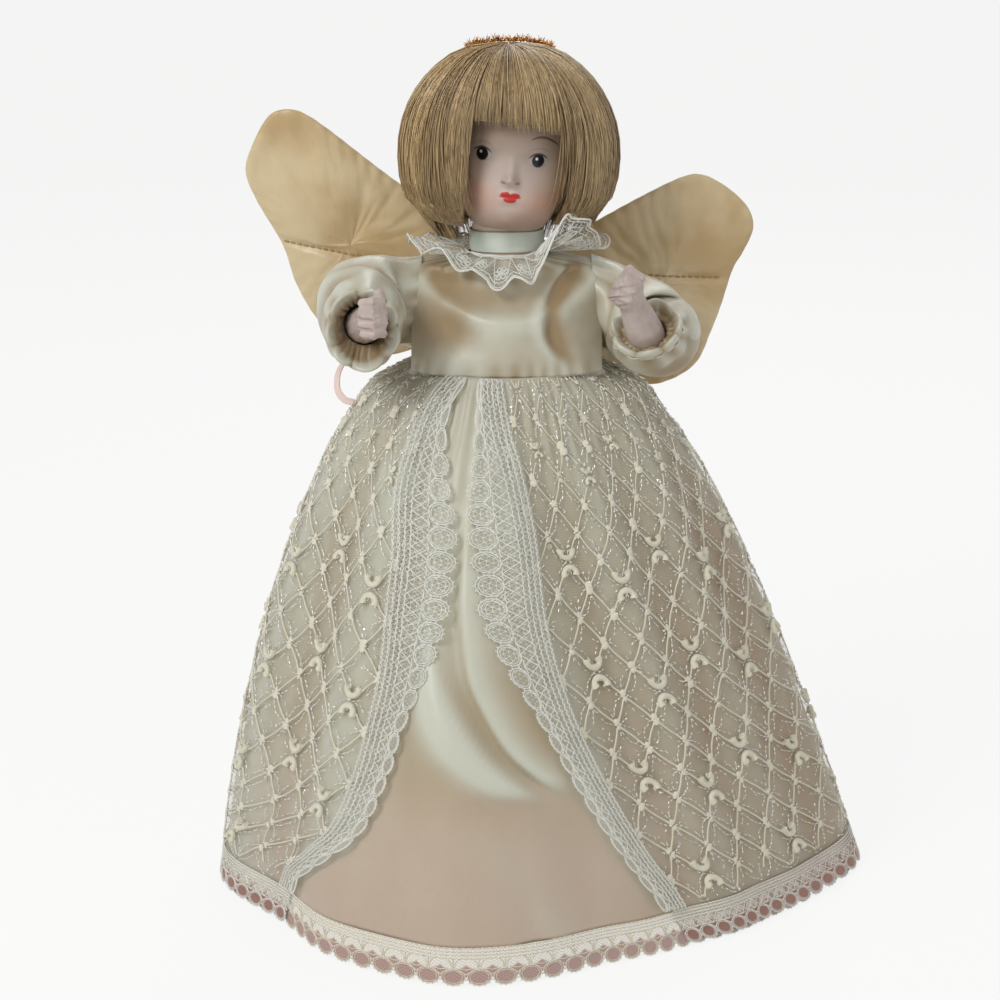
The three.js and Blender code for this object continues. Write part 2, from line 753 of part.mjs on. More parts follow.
// The opening for the face, with the fringe's place above it.
function faceDoor(ease) {
  const half = faceHalfWidth + ease;
  const top = 0.985 * headHeight + ease;
  const shape = new THREE.Shape();
  shape.moveTo(-half, -headHeight / 2);
  shape.lineTo(half, -headHeight / 2);
  shape.lineTo(half, headHeight - fringeDrop);
  shape.quadraticCurveTo(half, top, 0, top);
  shape.quadraticCurveTo(-half, top, -half, headHeight - fringeDrop);
  const depth = 2 * hairHalfDepth;
  const door = new THREE.ExtrudeGeometry(shape, { depth, bevelEnabled: false, curveSegments: 6 });
  return door.rotateX(Math.PI / 2).translate(faceAside, -0.32 * headHalfDepth + ease, 0);
}

function hairBob() {
  return cut(hairShell(), faceDoor(seamGap));
}

function hairFringe() {
  const low = headHeight - fringeDrop;
  const above = block(6 * faceHalfWidth, 4 * hairHalfDepth, headHeight, 0, 0, low + headHeight / 2);
  return common(common(hairShell(), faceDoor(0)), above);
}

// The wire ring lies in the hair, tipped back, half sunk; ease widens it for the groove.
function halo(ease = 0) {
  const ring = new THREE.TorusGeometry(haloRadius, haloThickness / 2 + ease, 6, 22);
  ring.rotateX(-haloTip).translate(hairAside, haloBack, hairBase + hairHeight - haloSink);
  return ring.rotateY(wigLean);
}

// Neck: satin ribbon and lace collar

function neckChoker() {
  const inner = neckRadius + seamGap;
  const low = neckTop - neckLength + seamGap;
  const place = (across, down, lift) => {
    const angle = TURN * across;
    const radius = inner + lift;
    const z = low + chokerWidth * (1 - down);
    return new THREE.Vector3(radius * Math.cos(angle), radius * Math.sin(angle), z);
  };
  return sheet(place, 24, 1, chokerWall, true);
}

// The collar's outer edge: angle, then its reach and rise as shares of the longest reach.
const collarShares = [
  [-180, 0.98, 0.12],
  [-150, 0.86, 0.06],
  [-128, 0.74, -0.05],
  [-100, 0.8, -0.19],
  [-78, 0.84, -0.2],
  [-60, 0.7, 0.02],
  [-45, 0.76, 0.34],
  [-25, 0.86, 0.16],
  [0, 0.98, 0.08],
  [50, 0.7, 0.03],
  [90, 0.6, 0],
  [140, 0.72, 0.02],
  [180, 0.98, 0.12],
];
const collarOut = column(collarShares, 1);
const collarRise = column(collarShares, 2);

function laceCollar() {
  const ruffles = 12; // four columns each
  const inner = neckRadius + seamGap;
  const place = (across, out, lift) => {
    const degrees = 360 * across - 180;
    const radius = lerp(inner + chokerWall + seamGap, collarReach * collarOut(degrees), out);
    const wave = collarRuffle * Math.sin(ruffles * TURN * across) * out;
    const z = bodiceLength + 2 * seamGap + collarReach * collarRise(degrees) * out ** 1.3 + wave + lift;
    return new THREE.Vector3(radius * Math.cos(degToRad(degrees)), radius * Math.sin(degToRad(degrees)), z);
  };
  return sheet(place, 4 * ruffles, 2, laceWall, true);
}

// Arms: places from the armhole, as shares of the arm's length, outwards, back and up

const armShares = {
  right: {
    side: -1,
    tall: 1.12,
    elbow: [0.33, -0.34, 0],
    mouth: [0.286, -0.92, -0.034],
    fist: [0.214, -1.12, 0.08],
  },
  left: {
    side: 1,
    tall: 1,
    elbow: [0.36, -0.36, -0.18],
    mouth: [0.275, -0.64, -0.1],
    fist: [0.132, -0.84, 0.214],
  },
};
// How the forearm and the sleeve's mouth point, the mouth's half sizes as shares of the elbow's radius,
// and where the cuff folds in: its depth, and how much narrower it is there.
const aimShares = {
  right: {
    forearm: [-0.18, -0.95, 0.29],
    mouth: [-0.06, -0.99, 0.13],
    across: 0.81,
    upward: 0.92,
    fold: [0.33, 0.86],
  },
  left: {
    forearm: [-0.316, -0.506, 0.8],
    mouth: [-0.2, -0.6, 0.77],
    across: 0.8,
    upward: 0.8,
    fold: [0.1, 0.78],
  },
};

function armPlaces(name) {
  const { side, elbow, tall, mouth, fist } = armShares[name];
  const aim = aimShares[name];
  const place = ([out, back, up]) => new THREE.Vector3(side * out, back, up).multiplyScalar(armLength);
  const point = ([out, back, up]) => new THREE.Vector3(side * out, back, up).normalize();
  const forearm = point(aim.forearm);
  const wrist = place(fist);
  return {
    side,
    elbow: place(elbow),
    tall,
    mouth: place(mouth),
    facing: point(aim.mouth),
    forearm,
    fist: wrist,
    socket: wrist.clone().addScaledVector(forearm, -forearmLength),
    across: aim.across * elbowRadius,
    upward: aim.upward * elbowRadius,
    fold: aim.fold,
  };
}

// The sleeve's outer form, or its inside when it is inset and runs on past both ends.
function sleeveForm(arm, inset, runOn) {
  const sides = 14;
  const outwards = new THREE.Vector3(arm.side, 0, 0);
  const toElbow = arm.elbow.clone().normalize();
  const height = elbowRadius * arm.tall - inset;
  // The tubes end just inside the elbow's ball, whose surface then shows whole.
  const sunk = 0.97;
  const armhole = [-runOn, seamGap].map((reach) => {
    const centre = outwards.clone().multiplyScalar(reach);
    return pathRing(sides, centre, outwards, shoulderRadius - inset, shoulderRadius - inset);
  });
  const upper = loft([
    ...armhole,
    pathRing(sides, arm.elbow, toElbow, sunk * (elbowRadius - inset), sunk * height),
  ]);
  const ball = new THREE.IcosahedronGeometry(1, 2).scale(elbowRadius - inset, elbowRadius - inset, height);
  ball.translate(...arm.elbow.toArray());
  const toMouth = arm.mouth.clone().sub(arm.elbow);
  const end = arm.mouth.clone().addScaledVector(arm.facing, runOn);
  const lower = loft([
    pathRing(sides, arm.elbow, toMouth, sunk * (elbowRadius - inset), sunk * height),
    pathRing(sides, arm.mouth, arm.facing, arm.across - inset, arm.upward - inset),
    pathRing(sides, end, arm.facing, arm.across - inset, arm.upward - inset),
  ]);
  return join(upper, ball, lower);
}

function sleeve(name) {
  const arm = armPlaces(name);
  return cut(sleeveForm(arm, 0, 0.01 * seamGap), sleeveForm(arm, satinWall, overrun));
}

// The hemmed cuff: pleated from the sleeve's mouth down to the forearm.
function cuff(name) {
  const arm = armPlaces(name);
  const pleats = 9;
  const columns = 3 * pleats;
  const pleatDepth = 0.09;
  const inset = satinWall + seamGap + laceWall;
  const [foldDepth, foldWidth] = arm.fold;
  const ahead = (reach) => arm.mouth.clone().addScaledVector(arm.facing, reach);
  const onForearm = nearestOnForearm(arm, ahead(-cuffDepth));
  const rims = [
    [ahead(cuffLip), arm.facing, arm.across - inset, arm.upward - inset],
    [ahead(-foldDepth * cuffDepth), arm.facing, foldWidth * arm.across, foldWidth * arm.upward],
    [onForearm, arm.forearm, forearmRadius + seamGap, forearmRadius + seamGap],
  ];
  const wall = (lift) => rims.map(([centre, facing, across, upward], i) => {
    const ring = pathRing(columns, centre, facing, across + lift, upward + lift);
    if (i !== 1) return ring;
    return ring.map((p, j) => p.lerp(centre, pleatDepth * (1 + Math.sin((TURN * pleats * j) / columns))));
  });
  return loft([...wall(laceWall), ...wall(0).reverse()], true);
}

function nearestOnForearm(arm, point) {
  const reach = point.clone().sub(arm.socket).dot(arm.forearm);
  const shortest = forearmRadius / 4;
  return arm.socket.clone().addScaledVector(arm.forearm, Math.max(reach, shortest));
}

// Forearm profile from the socket to the fist: shares of its length, and of the way from wrist to elbow end.
const forearmShares = [[0, 0.86], [0.06, 1], [0.3, 0.92], [0.55, 0.5], [0.78, 0], [1, 0.1]];
// Fingers: their heights in the fist, thumb side up.
const fingerShares = [-0.72, -0.25, 0.22, 0.68];

function forearm(name) {
  const arm = armPlaces(name);
  const up = new THREE.Vector3(0, 0, 1).addScaledVector(arm.forearm, -arm.forearm.z).normalize();
  const outer = new THREE.Vector3().crossVectors(up, arm.forearm).multiplyScalar(-1);
  if (outer.x * arm.side < 0) outer.multiplyScalar(-1);
  const inHand = (ahead, out, high) => arm.fist.clone()
    .addScaledVector(arm.forearm, ahead).addScaledVector(outer, out).addScaledVector(up, high);
  const shaft = loft(forearmShares.map(([share, width]) => {
    const centre = arm.socket.clone().addScaledVector(arm.forearm, share * forearmLength);
    const radius = lerp(wristRadius, forearmRadius, width);
    return pathRing(12, centre, arm.forearm, radius, radius);
  }));
  const palm = new THREE.SphereGeometry(1, 10, 6).scale(fistHalfWidth, fistHalfHeight, fistHalfWidth);
  palm.applyMatrix4(new THREE.Matrix4().makeBasis(outer, up, new THREE.Vector3().crossVectors(outer, up)));
  palm.translate(...arm.fist.toArray());
  const curl = fistHalfWidth - fingerRadius * 0.55;
  const fingers = fingerShares.map((share) => {
    const narrowing = 1 - 0.25 * share * share;
    const knuckle = (degrees) => {
      const angle = degToRad(degrees);
      const reach = curl * narrowing;
      return inHand(reach * Math.cos(angle), reach * Math.sin(angle), share * fistHalfHeight);
    };
    return finger([95, 50, 5, -40, -85].map(knuckle), fingerRadius);
  });
  const thumb = finger([
    inHand(-0.4 * fistHalfWidth, -0.5 * fistHalfWidth, 0.3 * fistHalfHeight),
    inHand(0.1 * fistHalfWidth, -0.55 * fistHalfWidth, 0.85 * fistHalfHeight),
    inHand(0.35 * fistHalfWidth, -0.35 * fistHalfWidth, 1.3 * fistHalfHeight),
  ], 1.1 * fingerRadius);
  const socketBore = along(wirePath(arm), disc(wireRadius + seamGap, 8), 8);
  return cut(join(shaft, palm, ...fingers, thumb), socketBore);
}

// A finger of blunt ends, thickest in its middle.
function finger(points, radius) {
  const curve = new THREE.CatmullRomCurve3(points);
  const stations = [0, 0.15, 0.5, 0.88, 1];
  const widths = [0.5, 0.95, 1, 0.9, 0.45];
  return loft(stations.map((share, i) => {
    const thickness = radius * widths[i];
    return pathRing(6, curve.getPoint(share), curve.getTangent(share), thickness, thickness);
  }));
}

// The bendable wire from the armhole into the forearm's socket.
function wirePath(arm) {
  const outwards = new THREE.Vector3(arm.side, 0, 0);
  return new THREE.CatmullRomCurve3([
    outwards.clone().multiplyScalar(-seamGap / 2),
    outwards.clone().multiplyScalar(0.14 * armLength),
    arm.elbow.clone().multiplyScalar(0.8),
    arm.socket.clone().addScaledVector(arm.forearm, -forearmRadius / 2),
    arm.socket.clone().addScaledVector(arm.forearm, forearmRadius),
  ]);
}

function armWire(name) {
  return along(wirePath(armPlaces(name)), disc(wireRadius, 6), 8);
}

// Wings: padded satin, outlined from the centre back as shares of the span

const wingShares = {
  right: [
    [0.03, 0.02], [0.16, 0.08], [0.31, 0.18], [0.51, 0.29], [0.72, 0.41], [0.82, 0.455], [0.885, 0.455],
    [0.94, 0.42], [0.985, 0.31], [1, 0.2], [0.94, 0.09], [0.83, -0.055], [0.76, -0.2], [0.65, -0.335],
    [0.5, -0.42], [0.345, -0.4], [0.2, -0.3], [0.1, -0.2], [0.03, -0.13],
  ],
  left: [
    [0.03, 0.02], [0.14, 0.1], [0.28, 0.195], [0.44, 0.315], [0.58, 0.41], [0.66, 0.435], [0.76, 0.4],
    [0.85, 0.335], [0.885, 0.26], [0.865, 0.17], [0.835, 0.09], [0.815, -0.05], [0.795, -0.15],
    [0.755, -0.29], [0.64, -0.38], [0.5, -0.4], [0.345, -0.38], [0.2, -0.3], [0.1, -0.2], [0.03, -0.13],
  ],
};
const wingCrownShares = [[0, 0], [0.3, 0.62], [0.62, 0.93], [1, 1]];
const wingCrown = through(wingCrownShares);

function wing(name, side) {
  const outline = wingShares[name].map(([out, up]) => new THREE.Vector3(side * out, 0, up));
  const curve = new THREE.CatmullRomCurve3(outline, true, "centripetal");
  const edge = curve.getSpacedPoints(34).slice(0, -1).map((p) => p.multiplyScalar(wingSpan));
  const centre = new THREE.Vector3(0.58 * side * wingSpan, 0, 0);
  const layer = (inward, face) => edge.map((p) => {
    const point = p.clone().lerp(centre, inward);
    const sweep = wingSweep * (Math.abs(point.x) / wingSpan) ** 1.5;
    const crown = wingCrown(inward) * smoothstep(Math.abs(point.x), tabWidth / 2, 0.35 * wingSpan);
    return point.setY(sweep + face * lerp(wingEdge, wingPuff, crown));
  });
  const inwards = [0.97, 0.62, 0.3, 0.1, 0];
  return loft([
    ...inwards.map((share) => layer(share, -1)),
    ...inwards.map((share) => layer(share, 1)).reverse(),
  ]);
}

// The padded tab that carries both wings on the bodice's back.
function wingTab() {
  const bodiceBack = Math.max(...bodiceShares.map((row) => waistHalfDepth * row[2] - waistForward * row[3]));
  const front = bodiceBack + seamGap;
  const corners = (share, depth) => [[-1, -1], [1, -1], [1, 1], [-1, 1]].map(([x, z]) => {
    const height = tabLift + (tabHeight * (1 + z * share)) / 2;
    return new THREE.Vector3((x * tabWidth * share) / 2, depth(height), height);
  });
  // The back follows the wings, which lean.
  const back = (height) => {
    const lean = (wingPivotLift - height) * Math.tan(wingLean);
    return wingPivotBack + lean - (wingEdge + 2 * seamGap) / Math.cos(wingLean);
  };
  return loft([
    corners(0.85, () => front),
    corners(1, (height) => lerp(front, back(height), 0.3)),
    corners(1, (height) => lerp(front, back(height), 0.7)),
    corners(0.85, back),
  ]);
}

// The ribbon loop's middle line, chosen by hand in the doll's frame.
const ribbonPlaces = [
  [-42.4, 22.4, 188.4], [-49, 25, 190], [-58, 21.5, 191.4], [-66, 15, 189], [-70.5, 9, 184], [-71, 4, 178.6],
  [-68.5, -1, 175.8], [-64.9, -5.5, 175.6],
];

function ribbonLoop() {
  const curve = new THREE.CatmullRomCurve3(ribbonPlaces.map((p) => new THREE.Vector3(...p)));
  const shape = new THREE.Shape();
  shape.moveTo(-ribbonThickness / 2, -ribbonWidth / 2);
  shape.lineTo(ribbonThickness / 2, -ribbonWidth / 2);
  shape.lineTo(ribbonThickness / 2, ribbonWidth / 2);
  shape.lineTo(-ribbonThickness / 2, ribbonWidth / 2);
  return along(curve, shape, 20);
}

// Assembly

const doll = new THREE.Group();
const skirts = new THREE.Group();
skirts.add(
  piece("topper_cone", topperCone().translate(-hemAside, 0, 0), card),
  piece("underskirt", underskirt(), satin),
  piece("underskirt_lace", underskirtLace(), lace),
  piece("overskirt", overskirt(), tulle),
  piece("overskirt_hem_lace", overskirtHemLace(), lace),
  piece("right_edge_lace", edgeLace(rightEdgeAngle, 1), lace),
  piece("left_edge_lace", edgeLace(leftEdgeAngle, -1), lace),
  piece("ribbon_loop", ribbonLoop(), ribbon),
);

const torso = new THREE.Group();
torso.position.set(-hemAside, 0, waistHeight);
torso.add(
  piece("torso_padding", torsoPadding(), stuffing),
  piece("bodice", bodice(), satin),
  piece("shoulder_wire", wireRod(armholeHalfSpan - seamGap, wireRadius), steel),
  piece("bisque_head", bisqueHead(), bisque),
  piece("neck_choker", neckChoker(), ribbon),
  piece("lace_collar", laceCollar(), lace),
  piece("wing_tab", wingTab(), wingSatin),
);

const wig = new THREE.Group();
wig.position.copy(headPivot);
wig.quaternion.copy(headTurn);
wig.add(
  piece("wig_cap", wigCap(), capCloth),
  piece("hair_bob", hairBob(), hair),
  piece("hair_fringe", hairFringe(), hair),
  piece("halo", halo(), tinsel),
);
torso.add(wig);

for (const name of ["right", "left"]) {
  const side = armShares[name].side;
  const arm = new THREE.Group();
  arm.position.set(side * (armholeHalfSpan + 2 * seamGap), 0, shoulderHeight);
  arm.add(
    piece(name + "_arm_wire", armWire(name), steel),
    piece(name + "_forearm", forearm(name), bisque),
    piece(name + "_sleeve", sleeve(name), satin),
    piece(name + "_cuff", cuff(name), satin),
  );
  torso.add(arm);
}

const wings = new THREE.Group();
wings.position.set(0, wingPivotBack, wingPivotLift);
wings.rotation.set(wingLean, wingRoll, 0, "YXZ");
wings.add(piece("right_wing", wing("right", -1), wingSatin), piece("left_wing", wing("left", 1), wingSatin));
torso.add(wings);

doll.add(skirts, torso);

// The part's origin is the middle of its footprint, on the floor.
doll.position.set(-footAside, -footBack, 0);

export default doll;
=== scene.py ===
import math

import bmesh
import bpy
import numpy as np
from mathutils import Matrix, Vector


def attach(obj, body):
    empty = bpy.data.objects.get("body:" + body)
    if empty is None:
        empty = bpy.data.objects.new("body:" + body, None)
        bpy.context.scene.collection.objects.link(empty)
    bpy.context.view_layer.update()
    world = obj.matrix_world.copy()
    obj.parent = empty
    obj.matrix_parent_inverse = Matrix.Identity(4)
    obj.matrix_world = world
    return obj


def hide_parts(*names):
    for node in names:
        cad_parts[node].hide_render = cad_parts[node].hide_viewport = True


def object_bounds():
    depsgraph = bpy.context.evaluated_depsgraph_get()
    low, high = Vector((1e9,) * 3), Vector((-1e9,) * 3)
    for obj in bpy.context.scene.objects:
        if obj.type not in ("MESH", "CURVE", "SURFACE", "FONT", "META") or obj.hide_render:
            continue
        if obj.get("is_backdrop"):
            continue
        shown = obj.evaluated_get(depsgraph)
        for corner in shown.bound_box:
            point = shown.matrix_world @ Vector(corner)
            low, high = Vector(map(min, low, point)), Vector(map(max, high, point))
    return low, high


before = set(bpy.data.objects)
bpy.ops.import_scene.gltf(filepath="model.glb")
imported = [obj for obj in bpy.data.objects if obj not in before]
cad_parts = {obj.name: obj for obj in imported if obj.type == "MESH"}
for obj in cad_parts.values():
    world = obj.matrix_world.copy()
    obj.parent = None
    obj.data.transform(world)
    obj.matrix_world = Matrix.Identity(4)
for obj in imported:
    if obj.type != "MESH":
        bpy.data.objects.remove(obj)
cad_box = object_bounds()

# The doll stands on a pale floor and is seen from a little above its own height, from the front.
# Places below are in millimetres; what makes a mesh turns them into metres.

MM = 0.001


def in_scene(name, data):
    """An object for a mesh, a lamp or a camera, in the scene and at its origin."""
    made = bpy.data.objects.new(name, data)
    bpy.context.scene.collection.objects.link(made)
    return made


camera_aside, camera_away, camera_height, aim_drop = -15.6, 970, 392, 242
camera = in_scene("camera", bpy.data.cameras.new("camera"))
camera.location = (camera_aside * MM, -camera_away * MM, camera_height * MM)
camera.rotation_euler = (math.atan2(camera_away, aim_drop), 0, 0)
camera.data.lens = 102.7
camera.data.sensor_width = 36
camera.data.shift_y = -0.031
bpy.context.scene.camera = camera
bpy.context.scene.view_settings.view_transform = "Standard"


class Tone:
    """One socket of a material's nodes. Arithmetic on it adds Math nodes."""

    def __init__(self, tree, socket=None):
        self.tree, self.socket = tree, socket

    def node(self, kind, settings, inputs, outlet=0):
        """One outlet of a new node, from the node's type, its settings, and its inlets' values or links."""
        made = self.tree.nodes.new(kind)
        for key, value in settings.items():
            setattr(made, key, value)
        for key, value in inputs.items():
            if isinstance(value, Tone):
                self.tree.links.new(value.socket, made.inputs[key])
            else:
                made.inputs[key].default_value = value
        return Tone(self.tree, made.outputs[outlet])

    def sum(self, operation, *values):
        return self.node("ShaderNodeMath", {"operation": operation}, dict(enumerate(values)))

    def __add__(self, other):
        return self.sum("ADD", self, other)

    def __sub__(self, other):
        return self.sum("SUBTRACT", self, other)

    def __mul__(self, other):
        return self.sum("MULTIPLY", self, other)

    def __truediv__(self, other):
        return self.sum("DIVIDE", self, other)

    def __rsub__(self, other):
        return self.sum("SUBTRACT", other, self)

    def __pow__(self, other):
        return self.sum("POWER", self, other)

    __radd__, __rmul__ = __add__, __mul__

    def least(self, other):
        return self.sum("MINIMUM", self, other)

    def most(self, other):
        return self.sum("MAXIMUM", self, other)

    def size(self):
        return self.sum("ABSOLUTE", self)

    def from_line(self):
        """How far a value is from the nearest whole number, 0 to 0.5."""
        return self.sum("PINGPONG", self, 0.5)

    def ramp(self, start, end, low=0.0, high=1.0):
        """Low before start, high after end, and smooth between."""
        ends = {"Value": self, "From Min": start, "From Max": end, "To Min": low, "To Max": high}
        return self.node("ShaderNodeMapRange", {"interpolation_type": "SMOOTHSTEP"}, ends)

    def between(self, first, second):
        """A colour from first to second as this value goes from 0 to 1."""
        colours = {"Factor": self, 6: first, 7: second}
        return self.node("ShaderNodeMix", {"data_type": "RGBA"}, colours, 2)

    def apart(self, outlet):
        return self.node("ShaderNodeSeparateXYZ", {}, {"Vector": self}, outlet)

    def attribute(self, name):
        """The number that the mesh holds for this place under a name."""
        return self.node("ShaderNodeAttribute", {"attribute_name": name}, {}, 2)

    def twill(self, pitch):
        """Slanting ridges of a weave on this flat cut, 0 to 1, from their pitch in metres."""
        return ((self.apart(0) + self.apart(1)) / pitch).from_line() * 2

    def noise(self, scale, detail=2.0, stretch=(1, 1, 1)):
        """Cloudy noise on this place, in features per metre."""
        place = self.node("ShaderNodeMapping", {}, {"Vector": self, "Scale": stretch})
        return self.node("ShaderNodeTexNoise", {}, {"Vector": place, "Scale": scale, "Detail": detail})

    def bump(self, distance):
        """A normal from this height, which goes from 0 to 1 over distance metres."""
        return self.node("ShaderNodeBump", {}, {"Height": self, "Distance": distance, "Strength": 1.0})


def dye(red, green, blue):
    """A colour as it looks on a screen, 0 to 255, for a shader."""
    shares = [c / 255 for c in (red, green, blue)]
    return (*[c / 12.92 if c <= 0.04045 else ((c + 0.055) / 1.055) ** 2.4 for c in shares], 1.0)


def finish(name, fixed, varied):
    """A material: fixed gives the shader's own values, and varied what changes over the surface."""
    made = bpy.data.materials.new(name)
    made.use_nodes = True
    shader = made.node_tree.nodes["Principled BSDF"]
    for key, value in fixed.items():
        shader.inputs[key].default_value = value
    start = Tone(made.node_tree)
    place = start.node("ShaderNodeTexCoord", {}, {}, "Object")
    flat = start.node("ShaderNodeUVMap", {"uv_map": "flat"}, {})
    for key, value in varied(place, flat).items():
        made.node_tree.links.new(value.socket, shader.inputs[key])
    return made


# A plain floor, white to the camera but for the doll's shadow. Two soft lamps stand before the doll,
# one to each side, and a third hangs above and behind it.
floor_half = 9
floor_corners = [(-floor_half, -floor_half, 0), (floor_half, -floor_half, 0),
                 (floor_half, floor_half, 0), (-floor_half, floor_half, 0)]
floor_mesh = bpy.data.meshes.new("floor")
floor_mesh.from_pydata(floor_corners, [], [(0, 1, 2, 3)])
floor = in_scene("floor", floor_mesh)
floor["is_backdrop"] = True
floor_paper = bpy.data.materials.new("floor_paper")
floor_paper.use_nodes = True
paper = floor_paper.node_tree.nodes["Principled BSDF"]
for key, value in {"Base Color": (0.86, 0.85, 0.83, 1), "Roughness": 0.9, "Specular IOR Level": 0.0}.items():
    paper.inputs[key].default_value = value


def seen_straight(tree):
    """1 for rays from the camera, and for those that metal or glass shows."""
    rays = [Tone(tree).node("ShaderNodeLightPath", {}, {}, kind) for kind in
            ("Is Camera Ray", "Is Glossy Ray", "Is Transmission Ray")]
    return rays[0].most(rays[1]).most(rays[2])


def shown_white(tree, kind, strength, behind):
    """Mixes a white glow over what is behind it, for the rays that see it straight."""
    glow = tree.nodes.new(kind)
    glow.inputs["Color"].default_value = (1, 1, 1, 1)
    mixed = tree.nodes.new("ShaderNodeMixShader")
    tree.links.new((seen_straight(tree) * strength).socket, mixed.inputs[0])
    tree.links.new(behind, mixed.inputs[1])
    tree.links.new(glow.outputs[0], mixed.inputs[2])
    return mixed.outputs[0]


tree = floor_paper.node_tree
tree.links.new(shown_white(tree, "ShaderNodeEmission", 0.86, paper.outputs[0]),
               tree.nodes["Material Output"].inputs["Surface"])
floor_mesh.materials.append(floor_paper)

room = bpy.data.worlds.new("room")
room.use_nodes = True
tree = room.node_tree
air = tree.nodes["Background"]
air.inputs["Color"].default_value = (1, 0.985, 0.96, 1)
air.inputs["Strength"].default_value = 0.36
tree.links.new(shown_white(tree, "ShaderNodeBackground", 1.0, air.outputs[0]),
               tree.nodes["World Output"].inputs["Surface"])
bpy.context.scene.world = room

lamps_aim_at = Vector((0, 0, 0.16))
for name, place, width, watts, colour in (
    ("window", (-0.75, -0.9, 1.0), 0.6, 9.5, (1, 0.99, 0.96)),
    ("reflector", (0.95, -0.7, 0.5), 0.9, 1.7, (1, 0.96, 0.9)),
    ("ceiling", (0.2, 0.9, 1.1), 0.8, 4.0, (1, 0.98, 0.95)),
):
    lamp = in_scene(name, bpy.data.lights.new(name, "AREA"))
    lamp.data.size, lamp.data.energy, lamp.data.color = width, watts, colour
    lamp.location = place
    lamp.rotation_euler = (lamps_aim_at - Vector(place)).to_track_quat("-Z", "Y").to_euler()

# Waist ribbon: a narrow woven satin ribbon, both ends caught in the waist seam under the right arm,
# so that it stands out as a loop and comes back to rest on the overskirt.


def surface(name, grid, material, flat=None, around=False, caps=False, turned=False):
    """A skin through rows of points in millimetres, with its flat cut in metres as its UV map.

    around joins the last column to the first, caps closes both ends, and turned faces it the other way."""
    grid = np.asarray(grid, float)
    rows, columns = grid.shape[:2]
    i, j = np.meshgrid(np.arange(rows - 1), np.arange(columns if around else columns - 1), indexing="ij")
    k = (j + 1) % columns
    corners = [i * columns + j, i * columns + k, (i + 1) * columns + k, (i + 1) * columns + j]
    faces = np.stack(corners[::-1] if turned else corners, -1).reshape(-1, 4).tolist()
    if caps:
        first = list(range(columns))
        last = [(rows - 1) * columns + c for c in first]
        faces += [first[::-1], last] if not turned else [first, last[::-1]]
    mesh = bpy.data.meshes.new(name)
    mesh.from_pydata((grid.reshape(-1, 3) * MM).tolist(), [], faces)
    if flat is not None:
        loops = np.empty(len(mesh.loops), np.int32)
        mesh.loops.foreach_get("vertex_index", loops)
        layer = mesh.uv_layers.new(name="flat")
        layer.data.foreach_set("uv", np.asarray(flat, np.float32).reshape(-1, 2)[loops].ravel())
    mesh.polygons.foreach_set("use_smooth", [True] * len(mesh.polygons))
    mesh.materials.append(material)
    return in_scene(name, mesh)


def smooth_path(points, count, closed=False):
    """As many points, evenly spaced, on a smooth curve through the given ones."""
    p = np.asarray(points, float)
    p = np.concatenate([p[-1:], p, p[:2]] if closed else [2 * p[:1] - p[1:2], p, 2 * p[-1:] - p[-2:-1]])
    fine = []
    for a, b, c, d in zip(p, p[1:], p[2:], p[3:]):
        s = np.linspace(0, 1, 24, endpoint=False)[:, None]
        fine.append(0.5 * (2 * b + (c - a) * s + (2 * a - 5 * b + 4 * c - d) * s**2
                           + (3 * b - a - 3 * c + d) * s**3))
    fine = np.concatenate(fine + [p[-2:-1]])
    run = np.concatenate([[0], np.cumsum(np.linalg.norm(np.diff(fine, axis=0), axis=1))])
    return np.stack([np.interp(np.linspace(0, run[-1], count), run, fine[:, k]) for k in range(3)], -1)


def woven_satin(name, light, shade, pitch, crease, sheen):
    """Satin: a close weave of fine slanting ridges, soft creases, and a shade that drifts."""
    def varied(place, flat):
        ridge, drift = flat.twill(pitch), place.noise(38, 3.0)
        creases = place.noise(170, 3.0, (1, 1, 0.35))
        colour = (drift.ramp(0.35, 0.68) * 0.8 + ridge * 0.12).between(light, shade)
        height = creases * 0.93 + ridge * 0.035 + place.noise(2400) * 0.03
        return {"Base Color": colour, "Normal": height.bump(crease),
                "Roughness": drift.ramp(0.3, 0.7, 0.3, 0.4) + ridge * 0.06}
    return finish(name, {"Sheen Weight": sheen, "Sheen Roughness": 0.35, "Specular IOR Level": 0.55}, varied)


ribbon_satin = woven_satin("ribbon_satin", dye(244, 222, 214), dye(226, 196, 186), 0.0004, 0.0001, 0.25)
ribbon_width, ribbon_thickness, ribbon_steps = 2.4, 0.5, 90
ribbon_route = smooth_path(np.array([
    (-42.4, 22.4, 188.4), (-49, 25, 190), (-58, 21.5, 191.4), (-66, 15, 189), (-70.5, 9, 184),
    (-71, 4, 178.6), (-68.5, -1, 175.8), (-64.9, -5.5, 175.6)]) + (-1.3, -2.3, 0), ribbon_steps)
run = np.gradient(ribbon_route, axis=0)
run /= np.linalg.norm(run, axis=1)[:, None]
across = [np.cross(run[0], (0.2, 0.1, 1.0))]
for step in run[1:]:
    across.append(across[-1] - step * np.dot(across[-1], step))
    across[-1] /= np.linalg.norm(across[-1])
across = np.array(across)
across[0] = across[1]
proud = np.cross(across, run)
section = [(0.5, 0.3), (0.5, -0.3), (0.42, -0.5), (-0.42, -0.5),
           (-0.5, -0.3), (-0.5, 0.3), (-0.42, 0.5), (0.42, 0.5)]
rows = np.stack([ribbon_route + across * w * ribbon_width + proud * t * ribbon_thickness
                 for w, t in section], 1)
lengths = np.linspace(0, 66 * MM, ribbon_steps)
cut = np.stack([np.tile([w * ribbon_width * MM for w, _ in section], (ribbon_steps, 1)),
                np.tile(lengths[:, None], len(section))], -1)
ribbon = surface("waist_ribbon", rows, ribbon_satin, cut, around=True, caps=True)
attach(ribbon, "doll")
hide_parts("ribbon_loop")
